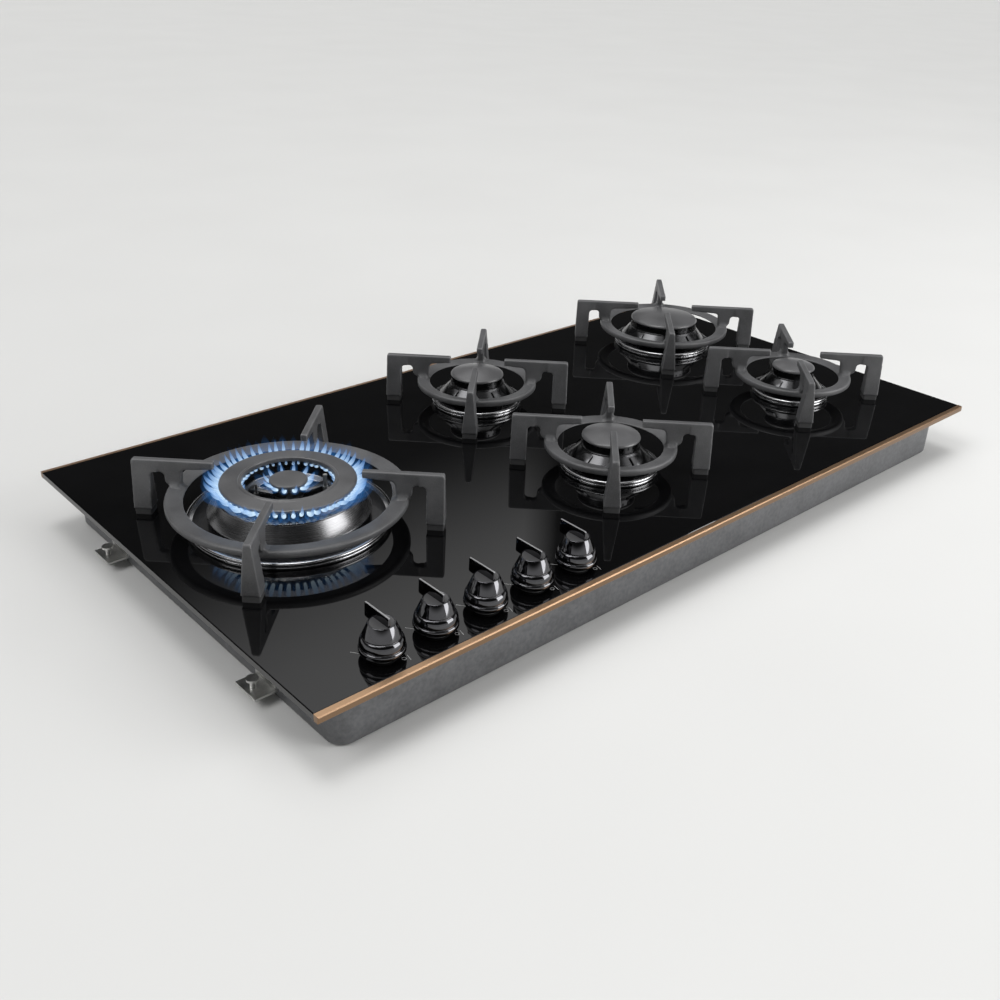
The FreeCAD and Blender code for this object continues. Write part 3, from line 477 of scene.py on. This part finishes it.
def spinProfile(bm, profile, steps, closed=False, turn=0.0):
    # Corners of (radius, height, rounding) in mm, turned about Z. Returns the new faces.
    ring = [bm.verts.new((point[0] * mm, 0, point[1] * mm)) for point in profile]
    edges = [bm.edges.new(pair) for pair in zip(ring, ring[1:])]
    if closed:
        edges.append(bm.edges.new((ring[-1], ring[0])))
    before = set(bm.verts) - set(ring)
    for width in sorted({point[2] for point in profile if len(point) > 2}):
        corners = [vert for vert, point in zip(ring, profile) if len(point) > 2 and point[2] == width]
        bmesh.ops.bevel(bm, geom=corners, offset=width * mm, offset_type="OFFSET", segments=3,
                        profile=0.5, affect="VERTICES", material=-1)
    verts = [vert for vert in bm.verts if vert not in before]
    edges = [edge for edge in bm.edges if edge.verts[0] not in before]
    if turn:
        bmesh.ops.rotate(bm, verts=verts, cent=(0, 0, 0), matrix=Matrix.Rotation(turn, 3, "Z"))
    faces = set(bm.faces)
    bmesh.ops.spin(bm, geom=verts + edges, cent=(0, 0, 0), axis=(0, 0, 1), angle=2 * math.pi,
                   steps=steps, use_merge=True)
    return [face for face in bm.faces if face not in faces]


portLook = {"spacing": 6.4, "low": 3.2, "high": 0.6, "slack": 0.4, "stripes": 4}


def portCount(radius):
    return int(round(2 * math.pi * radius / portLook["spacing"] / 4)) * 4


def portedBody(profile, radius, top, depth):
    # A turned body. One in so many stripes of the band below its top edge is pushed in as a flame port.
    look = portLook
    steps = portCount(radius) * look["stripes"]
    bm = bmesh.new()
    low, high = (top - look["low"]) * mm, (top - look["high"]) * mm
    band = []
    for face in spinProfile(bm, profile, steps, closed=True, turn=math.pi / steps):
        middle = face.calc_center_median()
        if low < middle.z < high and abs(middle.xy.length - radius * mm) < look["slack"] * mm:
            band.append(face)
    band.sort(key=lambda face: math.atan2(face.calc_center_median().y, face.calc_center_median().x))
    made = bmesh.ops.extrude_discrete_faces(bm, faces=band[::look["stripes"]])
    for face in made["faces"]:
        middle = face.calc_center_median()
        inward = Vector((-middle.x, -middle.y, 0)).normalized() * depth * mm
        bmesh.ops.translate(bm, verts=face.verts[:], vec=inward)
    return bm


def bandCorners(radius, top):
    # The corners that the ports' band needs on the outside of a profile, from below
    return [(radius, top - portLook["low"]), (radius, top - portLook["high"]), (radius, top)]


def roundedBlock(bm, size, matrix, width, segments=2):
    # A cube of that size with bevelled edges, placed by the matrix
    made = bmesh.ops.create_cube(bm, size=1.0)
    verts = made["verts"]
    bmesh.ops.scale(bm, verts=verts, vec=Vector(size) * mm)
    edges = list({edge for vert in verts for edge in vert.link_edges})
    bevelled = bmesh.ops.bevel(bm, geom=edges, offset=width * mm, offset_type="OFFSET",
                               segments=segments, profile=0.5, affect="EDGES", material=-1)
    moved = list({vert for face in bevelled["faces"] for vert in face.verts}
                 | {vert for vert in verts if vert.is_valid})
    bmesh.ops.transform(bm, matrix=matrix, verts=moved)


def setOnGlass(bm, centre):
    bmesh.ops.translate(bm, verts=bm.verts[:], vec=(centre.x, centre.y, glassTop))


castLook = {
    "voxel": 0.9, "smoothing": 4, "softness": 0.5, "armAngle": 45.0,
    "ringWidth": 10.8, "ringLow": 21.0, "ringHigh": 28.5,
    "heel": 5.0, "outerTop": 28.8, "lipLow": 24.9, "lipHigh": 26.4,
    "shareSlack": 0.01, "heightSlack": 0.05,
    "rings": {"wok": (92.6, 109.4), "rear_centre": (53.2, 67.2), "front_centre": (53.2, 67.2),
              "rear_right": (68.0, 82.5), "front_right": (53.0, 67.0)},
}


def slopeRing(bm, name, centre):
    # Turns the square section of the ring into one that slopes down to a thin lip on its inside
    look = castLook
    inner, outer = look["rings"][name]
    width, low, high = look["ringWidth"], look["ringLow"], look["ringHigh"]
    for vert in bm.verts:
        flat = (vert.co.xy - centre.xy) / mm
        height = (vert.co.z - glassTop) / mm
        across = (outer - flat.length) / width
        inside = -look["shareSlack"] < across < 1 + look["shareSlack"]
        if not inside or not low - look["heightSlack"] < height < high + look["heightSlack"]:
            continue
        radius = outer - across * (outer - inner)
        slope = max(0.0, (outer - look["heel"] - radius) / (outer - look["heel"] - inner))
        bottom = low + slope * (look["lipLow"] - low)
        top = look["outerTop"] + across * (look["lipHigh"] - look["outerTop"])
        vert.co.xy = centre.xy + flat.normalized() * radius * mm
        vert.co.z = glassTop + (bottom + (height - low) / (high - low) * (top - bottom)) * mm


def castCopy(name, node):
    # The casting's own shape with its edges and joints softened, as iron comes out of sand. The remesh
    # works on a grid, so the arms are turned to lie along it, and back again afterwards.
    turn = math.radians(castLook["armAngle"])
    bm = bmesh.new()
    bm.from_mesh(nodes[node].data)
    bmesh.ops.remove_doubles(bm, verts=bm.verts[:], dist=1e-6)
    middle = middleOf(node)
    slopeRing(bm, name, middle)
    bmesh.ops.translate(bm, verts=bm.verts[:], vec=-middle)
    bmesh.ops.rotate(bm, verts=bm.verts[:], cent=(0, 0, 0), matrix=Matrix.Rotation(turn, 3, "Z"))
    rough = bpy.data.meshes.new(node + "Rough")
    bm.to_mesh(rough)
    bm.free()
    holder = bpy.data.objects.new(node + "Rough", rough)
    bpy.context.scene.collection.objects.link(holder)
    remesh = holder.modifiers.new("voxels", "REMESH")
    remesh.mode = "VOXEL"
    remesh.voxel_size = castLook["voxel"] * mm
    soften = holder.modifiers.new("soften", "SMOOTH")
    soften.factor = castLook["softness"]
    soften.iterations = castLook["smoothing"]
    graph = bpy.context.evaluated_depsgraph_get()
    mesh = bpy.data.meshes.new_from_object(holder.evaluated_get(graph))
    bpy.data.objects.remove(holder)
    mesh.transform(Matrix.Translation(middle) @ Matrix.Rotation(-turn, 4, "Z"))
    return mesh


for name in burnerNames:
    node = "pan_support_" + name
    mesh = castCopy(name, node)
    placePiece("support_" + name + "_casting", mesh, [finishes["castIron"]],
               "support_" + name, [node], 180.0)
    print("casting", name, len(mesh.polygons), "faces")


headLook = {
    "dishFloor": 4.2, "dishHeight": 7.2, "hubHeight": 10.0, "skirtLow": 11.0, "skirtHigh": 25.0,
    "bandHigh": 33.0, "overhang": 1.4, "flange": 1.6, "portDepth": 2.4, "capRim": 3.0, "capDome": 4.6,
    "ringWidth": 5.2, "ribWidth": 12.0, "ribHeight": 1.6, "ribLength": 0.78,
}
throats = {"wok": 44.0, "rear_centre": 22.0, "front_centre": 22.0, "rear_right": 26.0, "front_right": 18.0}


def makeDish(name):
    node = "burner_dish_" + name
    rim, throat = halfWidth(node) / mm, throats[name]
    look = headLook
    hubIn = throat - 3.2
    ring = [(rim - 6.0, look["dishFloor"]), (rim - 3.4, look["dishHeight"], 0.6),
            (rim - 0.9, look["dishHeight"], 0.5), (rim, look["dishHeight"] - 0.9, 0.4), (rim, 4.5, 0.3),
            (rim - 2.0, 3.9, 0.2), (rim - 2.0, 3.4, 0.2), (rim - 0.8, 2.9, 0.4), (rim - 0.8, 1.0, 0.4),
            (rim - 2.0, 0.0)]
    floor = [(rim - 9.0, 0.0), (rim - 9.0, 2.0), (throat, 2.0), (throat, -6.0), (hubIn, -6.0),
             (hubIn, look["hubHeight"], 0.5), (throat, look["hubHeight"], 0.5),
             (throat, look["dishFloor"] + 1.8, 0.5), (throat + 4.0, look["dishFloor"], 1.0)]
    bm = bmesh.new()
    faces = spinProfile(bm, ring + floor, 128, closed=True)
    for face in faces:
        middle = face.calc_center_median()
        bright = middle.xy.length > (rim - look["ringWidth"]) * mm and middle.z > 0.2 * mm
        face.material_index = 1 if bright else 0
    centre = middleOf(node)
    setOnGlass(bm, centre)
    finishPiece("dish_" + name, bm, [finishes["dishEnamel"], turnedFinish("dishRing", name, centre)],
                "cooktop", [node])


def ribsOnCone(bm, inner, outer, low, high):
    # Four blocks on the cone, to the front, back, left and right
    run, rise = outer - inner, high - low
    length = math.hypot(run, rise)
    lean = Euler((0, math.atan2(rise, run), 0)).to_matrix().to_4x4()
    for quarter in range(4):
        turn = Matrix.Rotation(quarter * math.pi / 2, 4, "Z")
        spot = Matrix.Translation(Vector(((inner + outer) / 2, 0, (low + high) / 2)) * mm)
        size = (length * headLook["ribLength"], headLook["ribWidth"], 2 * headLook["ribHeight"])
        roundedBlock(bm, size, turn @ spot @ lean, 0.5)


def makeCrown(name):
    node = "burner_crown_" + name
    look = headLook
    skirt, throat = halfWidth(node) / mm, throats[name]
    cap = halfWidth("burner_cap_" + name) / mm
    band = cap - look["overhang"]
    low, high, top, hub = look["skirtLow"], look["skirtHigh"], look["bandHigh"], look["hubHeight"]
    inner, spigot, flange = band - 4.0, throat - 3.5, band + look["flange"]
    profile = [(spigot - 2.5, 4.0), (spigot, 4.0), (spigot, hub), (throat + 1.0, hub),
               (throat + 2.0, high - 5.0), (skirt - 2.4, low, 0.3), (skirt, low, 0.4),
               (skirt, low + 1.6, 0.5), (flange, high - 0.6, 0.4), (flange, high + 0.6, 0.4),
               (band, high + 1.0), *bandCorners(band, top), (inner, top), (inner, high),
               (spigot - 2.5, high)]
    bm = portedBody(profile, band, top, look["portDepth"])
    ribsOnCone(bm, flange, skirt, low + 1.6, high - 0.6)
    centre = middleOf(node)
    setOnGlass(bm, centre)
    finishPiece("crown_" + name + "_head", bm, [turnedFinish("crownMetal", name, centre)],
                "crown_" + name, [node])


def makeCap(name):
    node = "burner_cap_" + name
    look = headLook
    edge = halfWidth(node) / mm
    low, high = look["bandHigh"], look["bandHigh"] + look["capRim"]
    lip = edge - look["overhang"] - 4.3
    radius = (edge ** 2 + look["capDome"] ** 2) / (2 * look["capDome"])
    dome = []
    for share in (0.88, 0.7, 0.52, 0.34, 0.17, 0.0):
        across = (edge - 0.8) * share
        dome.append((across, high + look["capDome"] - radius + math.sqrt(radius ** 2 - across ** 2)))
    profile = [(0.0, low + 1.4), (lip - 2.0, low + 1.4), (lip - 2.0, low - 1.8), (lip, low - 1.8),
               (lip, low), (edge - 1.0, low, 0.4), (edge, low + 1.0, 0.4), (edge, high + 0.3, 2.2)] + dome
    bm = bmesh.new()
    spinProfile(bm, profile, 112)
    centre = middleOf(node)
    setOnGlass(bm, centre)
    finishPiece("cap_" + name + "_lid", bm, [finishes["capEnamel"]], "cap_" + name, [node])


wokLook = {
    "bandHigh": 37.8, "portDepth": 2.0, "capRim": 3.2, "hole": 41.5, "coreCap": 17.3, "coreWall": 5.0,
    "bridge": 9.0, "bridgeAngles": (0, 120, 240),
}


def makeWokHead():
    look = headLook
    centre = middleOf("burner_crown_wok")
    skirt = halfWidth("burner_crown_wok") / mm
    edge = halfWidth("burner_cap_wok_ring") / mm
    throat = throats["wok"]
    band, inner, top = edge - 2.0, wokLook["hole"] + 2.0, wokLook["bandHigh"]
    low, floor, hub = look["skirtLow"], look["skirtHigh"], look["hubHeight"]
    spigot = throat - 3.5
    bore = spigot - 2.6
    profile = [(bore, 4.0), (spigot, 4.0), (spigot, hub), (throat + 1.0, hub), (throat + 3.0, floor - 5.0),
               (skirt - 2.4, low, 0.3), (skirt, low, 0.4), (skirt, low + 1.6, 0.5),
               (band + 4.4, floor + 2.4, 0.6), (band + 4.4, floor + 3.8, 0.4), (band, floor + 5.0),
               *bandCorners(band, top), (band - 3.0, top), (band - 3.0, floor + 1.0),
               (inner + 3.0, floor + 1.0), (inner + 3.0, top), (inner, top), (inner, floor, 0.8),
               (bore, floor - 3.0, 1.2)]
    bm = portedBody(profile, band, top, wokLook["portDepth"])
    skirtMetal = turnedFinish("burnerMetal", "wok", centre)
    setOnGlass(bm, centre)
    finishPiece("crown_wok_ring", bm, [skirtMetal], "crown_wok", ["burner_crown_wok"])

    core = wokLook["coreCap"] - 2.4
    wall = core - wokLook["coreWall"]
    coreProfile = [(wall - 2.0, hub), (wall, hub), (core - 2.0, floor, 1.0), (core, floor + 3.0, 0.6),
                   *bandCorners(core, top), (core - 3.0, top), (core - 3.0, floor + 4.0),
                   (wall - 2.0, floor + 4.0)]
    bm = portedBody(coreProfile, core, top, wokLook["portDepth"])
    for angle in wokLook["bridgeAngles"]:
        reach = (core - 4.0, bore + 1.9)
        spot = Matrix.Translation(Vector((sum(reach) / 2, 0, floor - 4.5)) * mm)
        roundedBlock(bm, (reach[1] - reach[0], wokLook["bridge"], wokLook["bridge"]),
                     Matrix.Rotation(math.radians(angle), 4, "Z") @ spot, 0.9)
    setOnGlass(bm, centre)
    finishPiece("crown_wok_core", bm, [skirtMetal], "crown_wok", ["burner_core_wok"])

    lipOut, lipIn = band - 3.3, inner + 3.3
    hole, high = wokLook["hole"], top + wokLook["capRim"]
    ring = [(hole, top, 0.3), (lipIn, top), (lipIn, top - 1.6), (lipIn + 1.8, top - 1.6),
            (lipIn + 1.8, top), (lipOut - 1.8, top), (lipOut - 1.8, top - 1.6), (lipOut, top - 1.6),
            (lipOut, top),
            (edge - 0.8, top, 0.3), (edge, top + 0.8, 0.4), (edge, high - 1.4, 0.6),
            (edge - 1.4, high - 0.4, 0.8), (hole + 3.6, high - 0.2, 0.5), (hole + 2.6, high + 0.8, 0.4),
            (hole + 0.6, high + 0.8, 0.3), (hole, high + 0.2, 0.3)]
    bm = bmesh.new()
    spinProfile(bm, ring, 160, closed=True)
    setOnGlass(bm, centre)
    finishPiece("cap_wok_ring_lid", bm, [finishes["capEnamel"]], "cap_wok_ring",
                ["burner_cap_wok_ring"])

    edge = wokLook["coreCap"]
    lip = core - 3.3
    small = [(0.0, top + 1.2), (lip - 1.6, top + 1.2), (lip - 1.6, top - 1.6), (lip, top - 1.6),
             (lip, top), (edge - 0.8, top, 0.3), (edge, top + 0.8, 0.4), (edge, high - 0.8, 0.4),
             (edge - 0.9, high, 0.5), (edge * 0.6, high + 0.3), (edge * 0.3, high + 0.45),
             (0.0, high + 0.5)]
    bm = bmesh.new()
    spinProfile(bm, small, 96)
    setOnGlass(bm, centre)
    finishPiece("cap_wok_centre_lid", bm, [finishes["capEnamel"]], "cap_wok_centre",
                ["burner_cap_wok_centre"])


for name in burnerNames:
    makeDish(name)
    if name != "wok":
        makeCrown(name)
        makeCap(name)
makeWokHead()
print("burner heads made")


flameLook = {
    "steps": 10, "sides": 10, "bend": (1.7, 1.6),
    "sway": 0.02, "sizes": (0.8, 1.12), "heights": (0.75, 1.1), "beadReach": 1.6,
    "rows": {
        "outer": {"radius": 58.5, "low": -3.2, "reach": 14.5, "rise": 14.0, "width": 2.4, "heading": 1},
        "outerGlow": {"radius": 58.5, "low": -2.8, "reach": 19.5, "rise": 14.5, "width": 6.2, "heading": 1},
        "inner": {"radius": 44.0, "low": -3.4, "reach": 6.0, "rise": 5.0, "width": 1.3, "heading": -1},
        "core": {"radius": 14.2, "low": -2.6, "reach": 11.5, "rise": 11.0, "width": 2.0, "heading": 1},
        "coreGlow": {"radius": 14.2, "low": -2.2, "reach": 15.5, "rise": 12.5, "width": 4.0, "heading": 1},
    },
    "beads": {"outer": 1.7, "core": 1.3},
}


def addFlame(bm, layer, base, outward, look):
    # A thin spindle that leaves its port flat and bends upward
    steps, sides, (flat, steep) = (flameLook[key] for key in ("steps", "sides", "bend"))
    reach, rise = outward * look["reach"], Vector((0, 0, look["rise"]))
    rings = []
    for step in range(steps + 1):
        share = step / steps
        spot = base + reach * (1 - (1 - share) ** flat) + rise * share ** steep
        heading = reach * flat * (1 - share) ** (flat - 1) + rise * steep * share ** (steep - 1)
        swell = math.sin(math.pi * (share * 0.88 + 0.12)) ** 0.7 * (1 - 0.45 * share) + 0.03
        size = look["width"] * swell * mm
        turn = heading.to_track_quat("Z", "Y").to_matrix().to_4x4()
        made = bmesh.ops.create_circle(bm, cap_ends=False, radius=size, segments=sides,
                                       matrix=Matrix.Translation(spot * mm) @ turn)
        for vert in made["verts"]:
            vert[layer] = share
        rings.append(made["verts"])
    for lower, upper in zip(rings, rings[1:]):
        for i in range(sides):
            bm.faces.new((lower[i], lower[(i + 1) % sides], upper[(i + 1) % sides], upper[i]))
    bm.faces.new(reversed(rings[0]))
    bm.faces.new(rings[-1])


def makeFlames():
    dice = random.Random(7)
    centre = middleOf("burner_crown_wok")
    for row, look in flameLook["rows"].items():
        count = portCount(look["radius"])
        bm = bmesh.new()
        layer = bm.verts.layers.float.new("along")
        for i in range(count):
            sway = dice.uniform(-flameLook["sway"], flameLook["sway"])
            angle = 2 * math.pi * (i + 0.5) / count + sway
            outward = Vector((math.cos(angle), math.sin(angle), 0))
            size = dice.uniform(*flameLook["sizes"])
            rise = look["rise"] * dice.uniform(*flameLook["heights"])
            shape = {"reach": look["reach"] * size, "rise": rise, "width": look["width"] * size}
            base = outward * (look["radius"] - look["heading"])
            base.z = wokLook["bandHigh"] + look["low"]
            addFlame(bm, layer, base, outward * look["heading"], shape)
            if row in flameLook["beads"]:
                # The bright root of the flame at its port
                spot = base + outward * look["heading"] * flameLook["beadReach"]
                bmesh.ops.create_icosphere(bm, subdivisions=2, radius=flameLook["beads"][row] * size * mm,
                                           matrix=Matrix.Translation(spot * mm))
        setOnGlass(bm, centre)
        finish = "flameGlow" if row.endswith("Glow") else "flame"
        finishPiece("flames_" + row, bm, [finishes[finish]], "crown_wok")


makeFlames()
print("flames made")


knobLook = {
    "radius": 18.3, "bandRadius": 17.6, "grooveRadius": 16.9, "shoulder": 15.3, "topRadius": 10.7,
    "gap": 4.4, "groove": 10.1, "bandHigh": 17.4, "coneLow": 18.8, "coneHigh": 29.2,
    "bladeLow": 24.3, "bladeHigh": 37.0, "bladeThick": 2.2, "bladeFront": 9.4, "bladeBack": 20.6,
    "bladeRound": 0.28, "bladeTaper": 0.72, "topSink": 0.2,
}


def makeKnob(name):
    look = knobLook
    radius, band, groove, gap = look["radius"], look["bandRadius"], look["groove"], look["gap"]
    foot, high, waist, low = look["shoulder"], look["bandHigh"], look["grooveRadius"], look["coneLow"]
    top, cone, disc = look["topRadius"], look["coneHigh"], look["coneHigh"] - look["topSink"]
    front, back = look["bladeFront"], look["bladeBack"]
    bladeLow, bladeHigh, thick = look["bladeLow"], look["bladeHigh"], look["bladeThick"]
    inner = waist - 1.6
    profile = [(4.1, gap + 2.0), (inner, gap + 2.0), (inner, gap, 0.3), (radius - 1.1, gap, 0.3),
               (radius, gap + 1.0, 0.5), (radius, groove - 1.9, 0.5), (radius - 0.6, groove - 0.8, 0.3),
               (waist, groove - 0.4, 0.15), (waist, groove + 0.4, 0.15), (band, groove + 0.8, 0.3),
               (band, groove + 2.9, 1.0), (band - 1.0, high - 1.4, 0.8), (foot + 0.3, high, 0.3),
               (foot - 0.4, high + 0.3, 0.15), (foot - 0.4, low - 0.5, 0.15), (foot, low, 0.3),
               (top + 0.3, cone - 0.6, 0.4), (top, cone, 0.25), (top - 0.9, cone, 0.2),
               (top - 1.1, disc, 0.1), (0.0, disc)]
    bm = bmesh.new()
    spinProfile(bm, profile, 96)
    blade = [(-front, cone - 1.0), (top - 2.0, cone - 1.0), (top - 0.7, bladeLow - 0.7),
             (back - 0.9, bladeLow), (back, bladeLow + 1.0), (back, bladeHigh - 0.3),
             (back - 0.3, bladeHigh), (0.6 - front, bladeHigh), (-front, bladeHigh - 0.6)]
    side = [bm.verts.new((-thick / 2 * mm, y * mm, z * mm)) for y, z in blade]
    made = bmesh.ops.extrude_face_region(bm, geom=[bm.faces.new(side)])
    far = [item for item in made["geom"] if isinstance(item, bmesh.types.BMVert)]
    bmesh.ops.translate(bm, verts=far, vec=(thick * mm, 0, 0))
    rim = [edge for edge in bm.edges if all(vert in far or vert in side for vert in edge.verts)]
    bmesh.ops.bevel(bm, geom=rim, offset=look["bladeRound"] * mm, offset_type="OFFSET", segments=2,
                    profile=0.5, affect="EDGES", material=-1)
    for vert in bm.verts:
        if vert.co.z > (bladeHigh - 1.0) * mm:
            vert.co.x *= look["bladeTaper"]
    # The flat face on top is satin, and so is the blade's top edge, whose pale colour is a painted
    # highlight
    bm.normal_update()
    for face in bm.faces:
        level = face.calc_center_median().z / mm
        if abs(face.normal.z) > 0.5 and level > bladeHigh - 0.5:
            face.material_index = 2
        elif abs(face.normal.z) > 0.8 and abs(level - disc) < 0.05:
            face.material_index = 1
    centre = middleOf("spindle_" + name)
    setOnGlass(bm, centre)
    metals = [turnedFinish(finish, name, centre) for finish in ("knobChrome", "knobFace", "knobEdge")]
    finishPiece("knob_" + name + "_grip", bm, metals, "knob_" + name, ["knob_" + name],
                sharp=30.0)


for name in burnerNames:
    makeKnob(name)
print("knobs made")


markLook = {
    "height": 0.06, "width": 0.5, "dot": (9.2, -14.8), "dotRadius": 1.9,
    "line": ((13.8, -12.4), (12.3, -19.1)), "stroke": ((-17.2, 17.1), (-11.7, 9.8)),
}


def addStroke(bm, start, end, centre):
    run = Vector(end) - Vector(start)
    middle = (Vector(start) + Vector(end)) / 2
    matrix = Matrix.Translation(Vector((middle.x, middle.y, 0)) * mm + centre)
    roundedBlock(bm, (run.length, markLook["width"], markLook["height"]),
                 matrix @ Matrix.Rotation(math.atan2(run.y, run.x), 4, "Z"), 0.02, 1)


def makeMarks():
    bm = bmesh.new()
    for name in burnerNames:
        knob = middleOf("spindle_" + name)
        centre = Vector((knob.x, knob.y, glassTop + markLook["height"] / 2 * mm))
        addStroke(bm, *markLook["line"], centre)
        addStroke(bm, *markLook["stroke"], centre)
        spot = centre + Vector((*markLook["dot"], 0)) * mm
        half, outer = markLook["height"] / 2, markLook["dotRadius"]
        inner = outer - markLook["width"]
        old = set(bm.verts)
        spinProfile(bm, [(inner, -half), (outer, -half), (outer, half), (inner, half)], 32, closed=True)
        bmesh.ops.translate(bm, verts=[vert for vert in bm.verts if vert not in old], vec=spot)
    finishPiece("glass_marks", bm, [finishes["print"]], "cooktop")


makeMarks()
print("marks made")


# Pieces that keep their CAD shape; a key that ends in _ stands for every node that starts so
nodeFinishes = {
    "glass_top": "blackGlass", "front_trim": "copper", "rear_trim": "copper", "rim_seal": "foam",
    "under_tray": "traySteel", "gas_manifold": "zincSteel", "inlet_elbow": "brass",
    "gas_pipes": "pipeAluminium", "burner_cups": "castAluminium", "injectors": "brass",
    "tap_bodies": "castAluminium", "knob_seals": "rubber", "spark_electrodes": "ceramic",
    "flame_probes": "zincSteel", "spark_generator": "unitPlastic", "cable_gland": "unitPlastic",
    "fixing_brackets": "zincSteel", "fixing_screws": "zincSteel",
    "support_feet_": "rubber", "spindle_": "zincSteel", "tap_plug_": "brass",
}
for node, item in nodes.items():
    family = [key for key in nodeFinishes if node == key or key.endswith("_") and node.startswith(key)]
    if family:
        item.data.materials.clear()
        item.data.materials.append(finishes[nodeFinishes[family[0]]])
print("finishes given")
